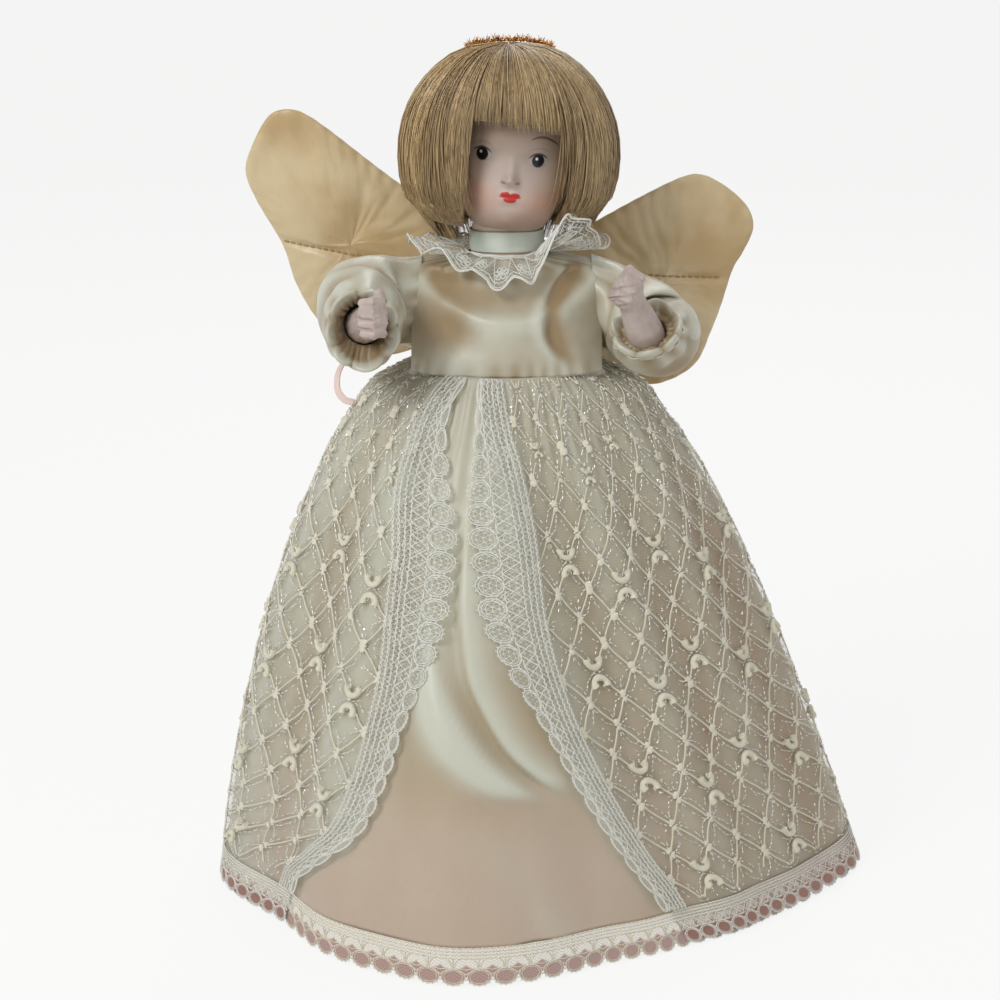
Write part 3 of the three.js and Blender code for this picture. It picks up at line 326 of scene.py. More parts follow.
ribbon_long = float(np.linalg.norm(np.diff(ribbon_route, axis=0), axis=1).sum()) * MM

# Card cone: grey-brown pressed card rolled to a cone and glued, open above and below. It carries the
# whole doll, and slips over the tree's tip.


def pressed_card(place, flat):
    fibres = place.noise(900, 4.0, (1, 1, 0.3))
    blots = place.noise(60, 3.0)
    stain = (fibres * 0.6 + blots * 0.4).ramp(0.3, 0.7)
    return {"Base Color": stain.between(dye(214, 200, 168), dye(180, 160, 124)),
            "Roughness": fibres.ramp(0.2, 0.8, 0.8, 0.95), "Normal": fibres.bump(0.00012)}


card = finish("pressed_card", {"Specular IOR Level": 0.3}, pressed_card)


def refinish(node, material):
    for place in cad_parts[node].material_slots:
        place.material = material


refinish("topper_cone", card)

# Torso padding: cotton stuffing tied round the cone's top, which fills the bodice and carries the
# shoulder plate on its peg.


def soft_copy(name, node, voxel, rounds, material):
    """A rounder copy of a soft CAD solid, with its corners eased."""
    made = in_scene(name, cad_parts[node].data.copy())
    weld = made.modifiers.new("weld", "WELD")
    weld.merge_threshold = 0.00001
    mesher = made.modifiers.new("mesher", "REMESH")
    mesher.mode, mesher.voxel_size, mesher.use_smooth_shade = "VOXEL", voxel * MM, True
    if rounds:
        ease = made.modifiers.new("ease", "SMOOTH")
        ease.factor, ease.iterations = 0.5, rounds
    settle(made)
    made.data.materials.clear()
    made.data.materials.append(material)
    return made


def settle(made):
    """Turns an object's modifiers into its plain mesh."""
    settled = bpy.data.meshes.new_from_object(made.evaluated_get(bpy.context.evaluated_depsgraph_get()))
    made.modifiers.clear()
    made.data = settled
    return made


def vertex_arrays(made):
    """Places in millimetres and normals of an object's points."""
    mesh = made.data
    places, normals = np.empty(len(mesh.vertices) * 3), np.empty(len(mesh.vertices) * 3)
    mesh.vertices.foreach_get("co", places)
    mesh.vertices.foreach_get("normal", normals)
    return places.reshape(-1, 3) / MM, normals.reshape(-1, 3)


def set_places(made, places):
    made.data.vertices.foreach_set("co", (places * MM).ravel())
    made.data.update()


def cotton_tufts(place, flat):
    tufts = place.noise(420, 5.0)
    return {"Base Color": tufts.ramp(0.35, 0.7).between(dye(238, 234, 224), dye(212, 206, 192)),
            "Roughness": tufts.ramp(0.0, 1.0, 0.85, 1.0), "Normal": tufts.bump(0.0006)}


cotton = finish("stuffing_cotton", {"Sheen Weight": 0.3}, cotton_tufts)
stuffing = soft_copy("torso_stuffing", "torso_padding", 1.2, 3, cotton)
torso_aside, waist_seam, stuffing_half_width = 13.3, 191, 31
# It is drawn in under the bodice, from the waist seam up to the armholes.
places, normals = vertex_arrays(stuffing)
places -= normals * 1.6 * np.clip((places[:, 2:] - 190) / 4, 0, 1) * (places[:, 2:] < 212)
drawn_in = stuffing_half_width + 1.2 * np.clip(waist_seam - places[:, 2], 0, 8)
places[:, 0] = np.clip(places[:, 0] + torso_aside, -drawn_in, drawn_in) - torso_aside
set_places(stuffing, places)
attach(stuffing, "doll")
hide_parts("torso_padding")

# Head, neck and shoulder plate: one hollow casting of unglazed bisque, poured in a mould and fired,
# with its eyes, brows, lips and blush painted on by hand. The plate is glued over the padding's peg.


def through(table):
    """A smooth curve through a table of pairs that never overshoots them."""
    x, y = np.array(table, float).T
    rise = np.diff(y) / np.diff(x)
    both = rise[:-1] + rise[1:]
    inner = np.where(rise[:-1] * rise[1:] > 0, 2 * rise[:-1] * rise[1:] / np.where(both == 0, 1, both), 0)
    slope = np.concatenate([rise[:1], inner, rise[-1:]])

    def at(value):
        value = np.asarray(value, float)
        i = np.clip(np.searchsorted(x, value, side="right") - 1, 0, len(x) - 2)
        wide = x[i + 1] - x[i]
        s = np.clip((value - x[i]) / wide, 0, 1)
        return ((1 + 2 * s) * (1 - s) ** 2 * y[i] + s * (1 - s) ** 2 * wide * slope[i]
                + s * s * (3 - 2 * s) * y[i + 1] + s * s * (s - 1) * wide * slope[i + 1])
    return at


def curves_through(rows):
    """One smooth curve for each column of a table after its first."""
    return [through([(row[0], row[k]) for row in rows]) for k in range(1, len(rows[0]))]


def soft_step(value, start, end):
    s = np.clip((value - start) / (end - start), 0, 1)
    return s * s * (3 - 2 * s)


head_height, head_half_width, head_half_depth, bisque_wall = 54, 19.5, 23, 2.1
neck_radius, neck_length, plate_height, plate_lift = 11.9, 8.6, 13, 24.4
plate_half_width, plate_half_depth, skull_wall = 24, 17, 2.9
torso_axis = np.array([-13.3, -2.3, 191.0])
neck_top = plate_lift + plate_height + neck_length
head_turn = np.array(Matrix.Rotation(math.radians(5.5), 3, "Y") @ Matrix.Rotation(math.radians(-2.5), 3, "Z"))


def on_neck(points):
    """From the head's own frame, which starts at the top of the neck, to the doll's."""
    return np.asarray(points, float) @ head_turn.T + torso_axis + (0, 0, neck_top)


head_profile = [
    (0, 0.6, 0.62, 0.55), (0.012, 0.64, 0.76, 0.57), (0.037, 0.69, 0.9, 0.63), (0.093, 0.79, 0.965, 0.72),
    (0.167, 0.87, 0.99, 0.8), (0.24, 0.935, 1.005, 0.87), (0.39, 0.995, 1.01, 0.945), (0.463, 1, 1.01, 0.957),
    (0.6, 1, 1.05, 0.965), (0.704, 0.98, 1.025, 0.94), (0.796, 0.91, 0.94, 0.86), (0.87, 0.795, 0.815, 0.75),
    (0.935, 0.625, 0.635, 0.58), (0.981, 0.39, 0.39, 0.36), (1, 0.16, 0.16, 0.15)]
head_wide, head_front, head_back = curves_through(head_profile)
# The face's forms, nose, eyes, cheeks, lips and chin: across and up from the chin in millimetres,
# their half width and height, and their lift.
face_forms = [
    (0.5, 18.6, 2.1, 2.0, 3.0), (0.5, 21.5, 1.9, 4.4, 1.35),
    (-1.3, 17.9, 1.2, 1.0, 0.6), (2.3, 17.9, 1.2, 1.0, 0.6),
    (-9.6, 25.8, 4.6, 3.0, -1.5), (9.2, 25.2, 4.6, 3.0, -1.5),
    (-9.8, 25.9, 2.4, 2.3, 0.85), (9.0, 25.3, 2.4, 2.3, 0.85),
    (-9.8, 28.6, 3.9, 0.75, 0.35), (9.1, 28.0, 3.9, 0.75, 0.35),
    (-9.5, 14.5, 6.0, 5.4, 0.9), (10.2, 14.0, 6.0, 5.4, 0.9),
    (-0.9, 13.8, 1.5, 0.85, 0.75), (2.4, 13.8, 1.5, 0.85, 0.75),
    (0.8, 11.8, 2.3, 0.9, 0.85), (0.8, 12.75, 3.8, 0.35, -0.3),
    (0.7, 15.6, 0.7, 1.0, -0.35), (0.8, 9.4, 3.4, 1.2, -0.6), (0.9, 4.6, 4.2, 3.0, 1.1)]


def face_lift(x, z):
    return sum(lift * np.exp(-((x - a) / wide) ** 2 - ((z - b) / tall) ** 2)
               for a, b, wide, tall, lift in face_forms)


columns = 200
turn_shares = np.arange(columns) / columns
angles = 2 * np.pi * (turn_shares - 0.08 * np.sin(2 * np.pi * turn_shares)) - np.pi / 2
levels = np.concatenate([[0, 0.006, 0.012, 0.025, 0.037, 0.052],
                         np.linspace(0.07, 0.7, 150), np.linspace(0.71, 1, 24)])
deep, wide = np.sin(angles)[None], np.cos(angles)[None]
high = levels[:, None]
reach = np.where(deep < 0, head_front(high), head_back(high)) * head_half_depth
x = wide * head_half_width * head_wide(high)
z = np.broadcast_to(head_height * high, x.shape)
y = deep * reach - np.where(deep < 0, face_lift(x, z) * deep**2, 0)
skull = np.stack([x, y, z], -1)
plate_profile = through([(0, 1), (0.27, 0.9), (0.5, 0.58), (0.68, 0.25), (0.82, 0.08), (1, 0)])
plate_levels = np.linspace(0, 1, 22)
plate_rows = []
for inset in (0, bisque_wall):
    out = plate_profile(plate_levels)[:, None]
    half_width = neck_radius + (plate_half_width - neck_radius) * out - inset
    half_depth = neck_radius + (plate_half_depth - neck_radius) * out - inset
    height = (plate_lift + plate_height * plate_levels[:, None]) - inset * 0.6 * plate_levels[:, None]
    height = np.broadcast_to(height, (len(plate_levels), columns))
    rows = np.stack([half_width * wide, half_depth * deep, height], -1)
    top = np.stack([(neck_radius - inset) * wide[0], (neck_radius - inset) * deep[0],
                    np.full(columns, neck_top - 0.4)], -1)[None]
    plate_rows.append(np.concatenate([rows, top]) + torso_axis)
inner = []
for level in (0.94, 0.85, 0.6, 0.25, 0.09):
    half_depth = np.where(deep[0] < 0, head_front(level), head_back(level)) * head_half_depth
    inner.append(on_neck(np.stack([wide[0] * (head_half_width * head_wide(level) - skull_wall),
                                   deep[0] * (half_depth - skull_wall),
                                   np.full(columns, head_height * level)], -1)))
head_rows = np.concatenate([np.array(inner), plate_rows[1][::-1], plate_rows[0], on_neck(skull)])


def painted_bisque(place, flat):
    """Unglazed porcelain with painted features and with painted light and shade; flat holds a point's place
    across and up the face, where there is one.
    """
    across, up = flat.apart(0) * 1000, flat.apart(1) * 1000

    def spot(a, b, half_width, half_height, soft=0.25):
        """1 inside an oval, 0 outside."""
        from_middle = (((across - a) / half_width) ** 2 + ((up - b) / half_height) ** 2) ** 0.5
        return from_middle.ramp(1 - soft, 1 + soft, 1.0, 0.0)

    def stroke(a, b, half_width, arch, thick, tilt=0.0):
        """A painted arc that thins towards its ends."""
        along = (across - a) / half_width
        line = (up - b - (across - a) * tilt) + along * along * arch
        body = (1 - along * along).most(0.0) ** 0.5 * thick
        return (line.size() / (body + 0.02)).ramp(0.6, 1.3, 1.0, 0.0) * along.size().ramp(0.95, 1.0, 1.0, 0.0)

    speckle = place.noise(2600, 4.0)
    cloud = place.noise(90, 2.0)
    skin = (cloud.ramp(0.3, 0.7) * 0.6 + speckle * 0.4).between(dye(208, 194, 186), dye(194, 177, 170))
    # The face is painted lighter towards its sides: painted light against the hair's shadow on the cheeks.
    skin = ((across - 0.5).size().ramp(6.5, 15) * 0.6).between(skin, dye(250, 224, 204))
    # A painted shadow of the fringe over the forehead.
    skin = (spot(0.5, 37.0, 17, 12, 0.9) * 0.85).between(skin, dye(150, 130, 112))
    blush = spot(-10.3, 11.4, 6.2, 4.8, 0.95).most(spot(11.2, 10.2, 6.2, 4.8, 0.95))
    skin = (blush * 0.42).between(skin, dye(220, 152, 124))
    for x, y in ((-9.9, 26.0), (8.9, 25.4)):
        skin = (spot(x, y + 0.3, 4.3, 3.6, 0.6) * 0.35).between(skin, dye(164, 150, 150))
        skin = (spot(x, y, 2.5, 2.35, 0.16) * 0.9).between(skin, dye(178, 184, 182))
        skin = (stroke(x, y + 2.3, 3.2, 1.7, 0.42) * 0.95).between(skin, dye(70, 58, 58))
        skin = (stroke(x, y - 2.2, 2.6, -1.1, 0.14) * 0.6).between(skin, dye(120, 96, 94))
        skin = (stroke(x + 0.2, y + 4.2, 3.7, 1.4, 0.16) * 0.55).between(skin, dye(140, 112, 104))
        skin = spot(x, y, 2.05, 2.2, 0.1).between(skin, dye(34, 36, 42))
        skin = spot(x, y - 0.05, 1.75, 1.9, 0.14).between(skin, dye(4, 4, 5))
        # A painted highlight: a white glint on each eye.
        skin = spot(x - 0.5, y + 0.6, 0.42, 0.5, 0.4).between(skin, dye(235, 238, 240))
    skin = (stroke(10.6, 33.3, 4.6, 1.9, 0.46, -0.2) * 0.85).between(skin, dye(112, 80, 62))
    # Painted shade under the nose, where the nostrils are.
    for x in (-1.9, 2.9):
        skin = (spot(x, 17.6, 0.85, 0.5, 0.6) * 0.65).between(skin, dye(120, 84, 80))
    lower = spot(0.85, 11.9, 2.2, 1.15, 0.14)
    upper = spot(-0.75, 13.3, 1.75, 1.15, 0.14).most(spot(2.4, 13.2, 1.75, 1.1, 0.14))
    corners = spot(0.8, 12.75, 3.6, 0.62, 0.2)
    lips = lower.most(upper).most(corners)
    skin = lips.between(skin, cloud.between(dye(206, 62, 54), dye(186, 44, 44)))
    glaze = spot(-9.9, 26.0, 2.2, 2.3, 0.2).most(spot(8.9, 25.4, 2.2, 2.3, 0.2)).most(lips * 0.6)
    # A painted shade over the chin.
    skin = (spot(0.8, 2.5, 12, 5.5, 0.9) * 0.8).between(skin, dye(152, 124, 106))
    return {"Base Color": skin, "Roughness": glaze.ramp(0.0, 1.0, 0.5, 0.3) + speckle * 0.06,
            "Normal": (speckle * 0.5 + cloud * 0.5).bump(0.00006)}


skin_depth = {"Subsurface Weight": 0.06, "Subsurface Scale": 0.004, "Subsurface Radius": (1.0, 0.45, 0.3)}
bisque = finish("painted_bisque", {**skin_depth, "Specular IOR Level": 0.4}, painted_bisque)
face_map = np.full((*head_rows.shape[:2], 2), -0.2)
front = np.broadcast_to((deep < 0)[..., None], (*skull.shape[:2], 2))
face_map[-len(levels):] = np.where(front, np.stack([x, z], -1) * MM, -0.2)
head = surface("bisque_head_painted", head_rows, bisque, face_map, around=True, caps=True)
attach(head, "doll")
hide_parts("bisque_head")

# Wig cap: a skullcap of stiff cotton net, moulded to the crown and glued on. The hair is sewn to it,
# and hides it from every side.


def stiff_net(place, flat):
    weave = (place.apart(0) * 900).from_line().least((place.apart(2) * 900).from_line())
    return {"Base Color": weave.ramp(0.0, 0.2).between(dye(168, 148, 104), dye(120, 102, 66)),
            "Roughness": weave.ramp(0.0, 0.3, 0.9, 1.0), "Normal": weave.bump(0.0002)}


cap_net = finish("cap_net", {"Sheen Weight": 0.2}, stiff_net)
wig_cap = soft_copy("wig_cap_net", "wig_cap", 0.28, 0, cap_net)
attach(wig_cap, "doll")
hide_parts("wig_cap")

# Hair: straight dark-blonde fibre, combed out from the crown, cut to a bob that curls in at the jaw,
# with a fringe over the forehead. The bob and the fringe are two lots of strands.

# The wig stands upright on the tipped head.
wig_lean = np.array(Matrix.Rotation(math.radians(-5.5), 3, "Y"))
hair_height, hair_half_width, hair_half_depth, hair_aside, hair_low = 60.2, 37, 29.5, 0.6, 0.5
fringe_low, face_half_width, face_aside, hair_nape = 34.5, 17, 3.5, 11
hair_profile = [
    (0, 0.62, 0.6, 0.72), (0.04, 0.77, 0.74, 0.84), (0.12, 0.91, 0.87, 0.94), (0.24, 0.98, 0.94, 1),
    (0.38, 1, 0.98, 1.01), (0.5, 0.99, 1, 1.01), (0.64, 0.93, 0.99, 0.97), (0.77, 0.82, 0.92, 0.89),
    (0.87, 0.68, 0.79, 0.77), (0.93, 0.545, 0.65, 0.63), (0.968, 0.42, 0.52, 0.5), (0.99, 0.26, 0.33, 0.32),
    (1, 0.08, 0.1, 0.1)]
hair_wide, hair_front, hair_back = curves_through(hair_profile)


def hair_point(angle, share, lift):
    """A point on the hair's outside, in the head's frame."""
    deep = np.sin(angle)
    x = (hair_half_width * hair_wide(share) + lift) * np.cos(angle) + hair_aside
    y = (hair_half_depth * np.where(deep < 0, hair_front(share), hair_back(share)) + lift) * deep
    z = hair_low + hair_height * share + lift * soft_step(share, 0.85, 1)
    z = z - hair_nape * (1 - share) ** 4 * soft_step(deep, 0.05, 0.5)
    return np.stack([x, y, z], -1) @ wig_lean.T


def combed_fibre(place, flat):
    """Glossy fibre, each strand with its own shade."""
    own, fine = place.attribute("strand"), place.noise(900, 3.0, (1, 1, 0.12))
    colour = (own * 0.75 + fine.ramp(0.3, 0.7) * 0.35).between(dye(104, 74, 38), dye(228, 200, 150))
    return {"Base Color": colour, "Roughness": own.ramp(0.0, 1.0, 0.42, 0.3), "Normal": fine.bump(0.0005)}


blonde = finish("blonde_fibre", {"Specular IOR Level": 0.6, "Sheen Weight": 0.15}, combed_fibre)


def started_tree(name, **inputs):
    """A tree with named inputs for its sizes, with its first and last node."""
    tree = bpy.data.node_groups.new(name, "GeometryNodeTree")
    for socket, kind in inputs.items():
        tree.interface.new_socket(socket, in_out="INPUT", socket_type="NodeSocket" + kind)
    tree.interface.new_socket("Made", in_out="OUTPUT", socket_type="NodeSocketGeometry")
    return tree, tree.nodes.new("NodeGroupInput"), tree.nodes.new("NodeGroupOutput")


def tie(tree, *pairs):
    """Links a tree's nodes; each pair is a node and its outlet, and a node and its inlet."""
    for (start, outlet), (end, inlet) in pairs:
        tree.links.new(start.outputs[outlet], end.inputs[inlet])


def thread_tree():
    """Turns the edges of a mesh into round threads, which an attribute named thick scales on their way."""
    tree, given, made = started_tree("threads", Paths="Geometry", Radius="Float", Sides="Int",
                                     Finish="Material")
    paths, ring, sweep, thick, smooth, real, coat = (tree.nodes.new("GeometryNode" + kind) for kind in (
        "MeshToCurve", "CurvePrimitiveCircle", "CurveToMesh", "InputNamedAttribute", "SetShadeSmooth",
        "RealizeInstances", "SetMaterial"))
    thick.data_type = "FLOAT"
    thick.inputs["Name"].default_value = "thick"
    sweep.inputs["Fill Caps"].default_value = True
    tie(tree, ((given, "Paths"), (paths, "Mesh")), ((given, "Sides"), (ring, "Resolution")),
        ((given, "Radius"), (ring, "Radius")), ((paths, "Curve"), (sweep, "Curve")),
        ((ring, "Curve"), (sweep, "Profile Curve")), ((thick, "Attribute"), (sweep, "Scale")),
        ((sweep, "Mesh"), (smooth, "Geometry")), ((smooth, "Geometry"), (real, "Geometry")),
        ((real, "Geometry"), (coat, "Geometry")), ((given, "Finish"), (coat, "Material")),
        ((coat, "Geometry"), (made, "Made")))
    return tree


threads = thread_tree()


def grown(name, mesh, tree, **given):
    """The plain mesh that a tree makes from a mesh."""
    made = in_scene(name, mesh)
    grower = made.modifiers.new("grower", "NODES")
    grower.node_group = tree
    for socket in tree.interface.items_tree:
        if socket.in_out == "INPUT" and socket.name in given:
            grower[socket.identifier] = given[socket.name]
    return settle(made)


def mark(mesh, name, values):
    """Gives each point of a mesh a number under a name."""
    held = mesh.attributes.new(name, "FLOAT", "POINT").data
    held.foreach_set("value", np.asarray(values, np.float32).ravel())


def spun(name, lines, radius, material, sides, thick=None, strand=None):
    """Threads along lines of points in millimetres, as one mesh."""
    points = np.concatenate(lines)
    counts = [len(line) for line in lines]
    starts = np.concatenate([[0], np.cumsum(counts)])
    edges = np.concatenate([np.stack([np.arange(a, b - 1), np.arange(a + 1, b)], -1)
                            for a, b in zip(starts, starts[1:])])
    mesh = bpy.data.meshes.new(name)
    mesh.from_pydata((points * MM).tolist(), edges.tolist(), [])
    mark(mesh, "thick", np.ones(len(points)) if thick is None else np.concatenate(thick))
    if strand is not None:
        mark(mesh, "strand", np.repeat(strand, counts))
    return grown(name, mesh, threads, Radius=radius * MM, Sides=sides, Finish=material)


def under_fringe(points):
    """True where a point of the hair lies in the opening for the face."""
    return (np.abs(points[..., 0] - face_aside) < face_half_width) & (points[..., 1] < -0.3 * head_half_depth)


# A strand's points crowd at the crown, where it bends over, and each lock of strands leans its own way.
# One that keeps fewer of its fine steps than shortest is left out.
lock_count, fine_steps, shortest, strand_steps, wisp_steps, crowding = 90, 60, 8, 13, 16, 1.55


def comb(count, seed, lift_low, lift_high, stray=0.0):
    """Strands in locks from the crown down over the hair's outside, cut off over the face."""
    pick = np.random.default_rng(seed)
    lines, widths, shades = [], [], []
    locks = pick.uniform(-1, 1, (lock_count, 3))
    for number in range(count):
        start = 2 * np.pi * (number + pick.random()) / count
        lock = locks[int(number / count * lock_count)]
        middle = 2 * np.pi * (int(number / count * lock_count) + 0.5) / lock_count
        share = 1 - np.linspace(0.0, 1, fine_steps) ** crowding
        drift = 0.05 * lock[0] * (1 - share) ** 1.6 + pick.normal(0, 0.03 + stray) * (1 - share) ** 1.3
        angle = start + (middle - start) * 0.3 * (1 - share) ** 2 + drift
        angle = angle + 0.014 * np.sin(7 * share + 3 * lock[1]) + 0.05 * np.sin(3 * start + 1) * (1 - share)
        lift = pick.uniform(lift_low, lift_high) + 0.35 * lock[2] * np.sin(np.pi * share)
        line = hair_point(angle, share, lift - 0.5 * soft_step(share, 0.12, 0))
        place_in_face = line[-1, 0] - face_aside
        ends = fringe_low + 1.6 - 0.085 * place_in_face + 0.9 * lock[0] + pick.uniform(-2.3, 1.0)
        keep = ~(under_fringe(line) & (line[:, 2] < ends))
        line = line[: int(np.argmin(keep)) if not keep.all() else fine_steps]
        if len(line) < shortest:
            continue
        line = line[: max(shortest, int(len(line) * (1 - 0.05 * pick.random() ** 2)))]
        run = np.linspace(0, len(line) - 1, strand_steps)
        line = np.stack([np.interp(run, np.arange(len(line)), line[:, k]) for k in range(3)], -1)
        lines.append(on_neck(line))
        widths.append(np.interp(np.linspace(0, 1, strand_steps), [0, 0.1, 0.8, 1], [0.4, 1, 0.85, 0.2]))
        shades.append(np.clip(0.5 + 0.13 * lock[0] + 0.1 * np.sin(9 * start) + pick.normal(0, 0.22), 0, 1))
    return lines, widths, shades


def wisps(count, seed):
    """Loose strands that fall from the edges of the face's opening across the cheeks; those on its left are
    darker, a painted shade of the gap there.
    """
    pick = np.random.default_rng(seed)
    lines, widths, shades = [], [], []
    share = 1 - np.linspace(0, 1, wisp_steps) ** crowding
    for number in range(count):
        side = -1 if number % 2 else 1
        beside = face_aside + side * (face_half_width + pick.uniform(0.3, 5)) - hair_aside
        angle = -np.arccos(np.clip(beside / hair_half_width, -1, 1)) + 0.06 * pick.normal() * (1 - share)
        line = hair_point(angle, share, pick.uniform(-0.2, 0.9))
        reach = pick.uniform(0.6, 4.8) * (1 - share) ** pick.uniform(2, 4)
        line[:, 0] += -side * reach + 0.5 * np.sin(5 * share + number) * (1 - share)
        line = line[: int(wisp_steps * pick.uniform(0.86, 1.0))]
        lines.append(on_neck(line))
        widths.append(np.interp(np.linspace(0, 1, len(line)), [0, 0.1, 0.8, 1], [0.4, 0.9, 0.7, 0.15]))
        # The darker strands on the face's left are a painted shade of the gap beside the face.
        shades.append(pick.uniform(0.0, 0.4) if side > 0 else pick.uniform(0.25, 0.9))
    return lines, widths, shades


combed = [comb(2300, 3, -0.35, 0.35), comb(420, 8, 0.2, 1.0, 0.07), wisps(90, 5)]
lines, widths, shades = (sum((list(lot[k]) for lot in combed), []) for k in range(3))
# The strands that end high and in front are the fringe's.
fringe_ends_above, fringe_ends_before = 262, -12
is_fringe = np.array([line[-1, 2] > fringe_ends_above and line[-1, 1] < fringe_ends_before for line in lines])
for name, chosen, node, voxel in (("hair_bob_fibre", ~is_fringe, "hair_bob", 0.9),
                                  ("hair_fringe_fibre", is_fringe, "hair_fringe", 0.7)):
    # The cores hold no strand shades, so the fibre gives them its darker tones: a painted shade of the hair's
    # depths under the strands.
    core = soft_copy(name + "_core", node, voxel, 5, blonde)
    places, normals = vertex_arrays(core)
    # The mass under the strands lies a little in from the hair's outside, and the fringe's ends higher.
    places = (places - normals * 0.35 - torso_axis - (0, 0, neck_top)) @ head_turn
    if node == "hair_fringe":
        places[:, 2] = np.maximum(places[:, 2], fringe_low + 3.2)
    set_places(core, on_neck(places))
    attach(core, "doll")
    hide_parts(node)
    pick = np.flatnonzero(chosen)
    fibre = spun(name, [lines[i] for i in pick], 0.19, blonde, 3, [widths[i] for i in pick],
                 [shades[i] for i in pick])
    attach(fibre, "doll")

# Halo: two fine wires twisted round a fringe of brass tinsel, bent to a ring and pushed into the hair
# of the crown, tipped a little forward.

halo_radius, halo_tip, halo_back, halo_sink = 14.2, 6, 4.5, 1.1
wire_apart, wire_twists, sliver_count = 0.45, 34, 760


def worn_brass(place, flat):
    flecks = place.noise(1500, 3.0)
    return {"Base Color": flecks.ramp(0.35, 0.65).between(dye(226, 170, 96), dye(128, 74, 34)),
            "Roughness": flecks.ramp(0.3, 0.7, 0.2, 0.45), "Normal": flecks.bump(0.0001)}


brass = finish("tinsel_brass", {"Metallic": 1.0}, worn_brass)
pick = np.random.default_rng(11)
halo_turn = np.array(Matrix.Rotation(math.radians(halo_tip), 3, "X"))
halo_middle = np.array([hair_aside, halo_back, hair_low + hair_height - halo_sink])


def on_halo(angle, out, up):
    """A point by the ring: its angle, how far outwards from the wire, and how far up."""
    radius = halo_radius + out
    ring = np.stack([radius * np.cos(angle), radius * np.sin(angle), up + 0 * angle], -1)
    return on_neck((ring @ halo_turn.T + halo_middle) @ wig_lean.T)


turn = np.linspace(0, 2 * np.pi, 241)
wires = [on_halo(turn, wire_apart * np.cos(wire_twists * turn + side),
                 wire_apart * np.sin(wire_twists * turn + side)) for side in (0, np.pi)]
slivers, sliver_widths = [], []
for number in range(sliver_count):
    angle, aim, long = pick.uniform(0, 2 * np.pi), pick.uniform(0, 2 * np.pi), pick.uniform(0.9, 2.1)
    away = np.linspace(0.2, long, 3)
    bend = pick.normal(0, 0.05) * np.array([0, 0.4, 1.0])
    slivers.append(on_halo(angle + bend, away * np.cos(aim), away * np.sin(aim) + 0.12 * away**2))
    sliver_widths.append(np.array([1, 0.9, 0.3]))
halo = spun("halo_tinsel", wires + slivers, 0.16, brass, 3, [np.full(len(turn), 2.4)] * 2 + sliver_widths)
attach(halo, "doll")
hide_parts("halo")

# Neck ribbon: pale satin ribbon wrapped once round the neck and glued behind. It hides the collar's
# gathers and the lower edge of the head.

choker_satin = woven_satin("choker_satin", dye(222, 230, 220), dye(158, 172, 164), 0.0004, 0.00022, 0.2)
choker_width, choker_wall, choker_gap = 7, 0.55, 0.35
choker_section = [(0, 0.0), (0, 0.75), (0.04, 1.0), (0.1, 0.82), (0.3, 0.95), (0.5, 1.05),
                  (0.7, 0.95), (0.9, 0.82), (0.96, 1.0), (1, 0.75), (1, 0.0)]


def flat_cut(wide, long, rows, columns):
    """A flat rectangle's UV map, for a surface of so many rows and columns."""
    return np.stack(np.broadcast_arrays(np.linspace(0, wide, columns)[None],
                                        np.linspace(0, long, rows)[:, None]), -1)


turn = np.linspace(0, 2 * np.pi, 120, endpoint=False)
sag = 0.45 * np.sin(turn - 0.4) * -1 + 0.25 * np.sin(3 * turn)
rows = []
for down, out in choker_section:
    ripple = 0.12 * np.sin(5 * turn + 7 * down) * (0.2 < down < 0.8)
    radius = neck_radius + choker_gap + choker_wall * out + ripple
    height = neck_top - neck_length + 0.35 + choker_width * (1 - down) + 0.5 * sag
    rows.append(np.stack([radius * np.cos(turn), radius * np.sin(turn), height], -1) + torso_axis)
cut = flat_cut(75 * MM, 7.4 * MM, len(rows), len(turn))
choker = surface("neck_ribbon", np.array(rows), choker_satin, cut, around=True, turned=True)
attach(choker, "doll")
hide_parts("neck_choker")

# Collar: a strip of cotton lace, gathered under the neck ribbon and spread over the shoulders. It is
# net with a corded, scalloped edge, and stands up by the left cheek.

collar_reach, collar_ruffle, collar_inner, bodice_length = 36, 2.2, 13.2, 36.2
# The collar's edge: degrees round the neck, and its shares of the reach outwards and upwards.
collar_edge = [
    (-180, 0.98, 0.12), (-150, 0.86, 0.06), (-128, 0.74, -0.05), (-100, 0.8, -0.19), (-78, 0.84, -0.2),
    (-64, 0.76, 0.0), (-50, 0.93, 0.42), (-37, 0.96, 0.44), (-21, 0.9, 0.16), (0, 0.98, 0.08),
    (50, 0.7, 0.03), (90, 0.6, 0), (140, 0.72, 0.02), (180, 0.98, 0.12)]
collar_out, collar_rise = curves_through(collar_edge)


def collar_point(across, out, lift):
    """across goes once round from behind, and out from the neck to the edge."""
    degrees = 360 * (across % 1.0) - 180
    radius = collar_inner + (collar_reach * collar_out(degrees) - collar_inner) * out
    wave = collar_ruffle * np.sin(24 * np.pi * across) * out
    fine = 0.5 * np.sin(76 * np.pi * across + 3 * out) * out * (1.2 - out)
    z = bodice_length + 0.7 + collar_reach * collar_rise(degrees) * out**1.3 + wave + fine + lift
    turn = np.radians(degrees)
    return np.stack([radius * np.cos(turn), radius * np.sin(turn), z], -1) + torso_axis


def cotton_lace(name, cord, shade):
    """Twisted cotton: matt, its tone drifting at random between the cord's colour and a darker one."""
    def varied(place, flat):
        twist = place.noise(2600, 2.0)
        cloud = place.noise(60, 2.0)
        return {"Base Color": (twist.ramp(0.3, 0.7) * 0.6 + cloud * 0.4).between(cord, shade),
                "Roughness": twist.ramp(0.3, 0.7, 0.7, 0.9), "Normal": twist.bump(0.00025)}
    return finish(name, {"Sheen Weight": 0.25, "Specular IOR Level": 0.3}, varied)


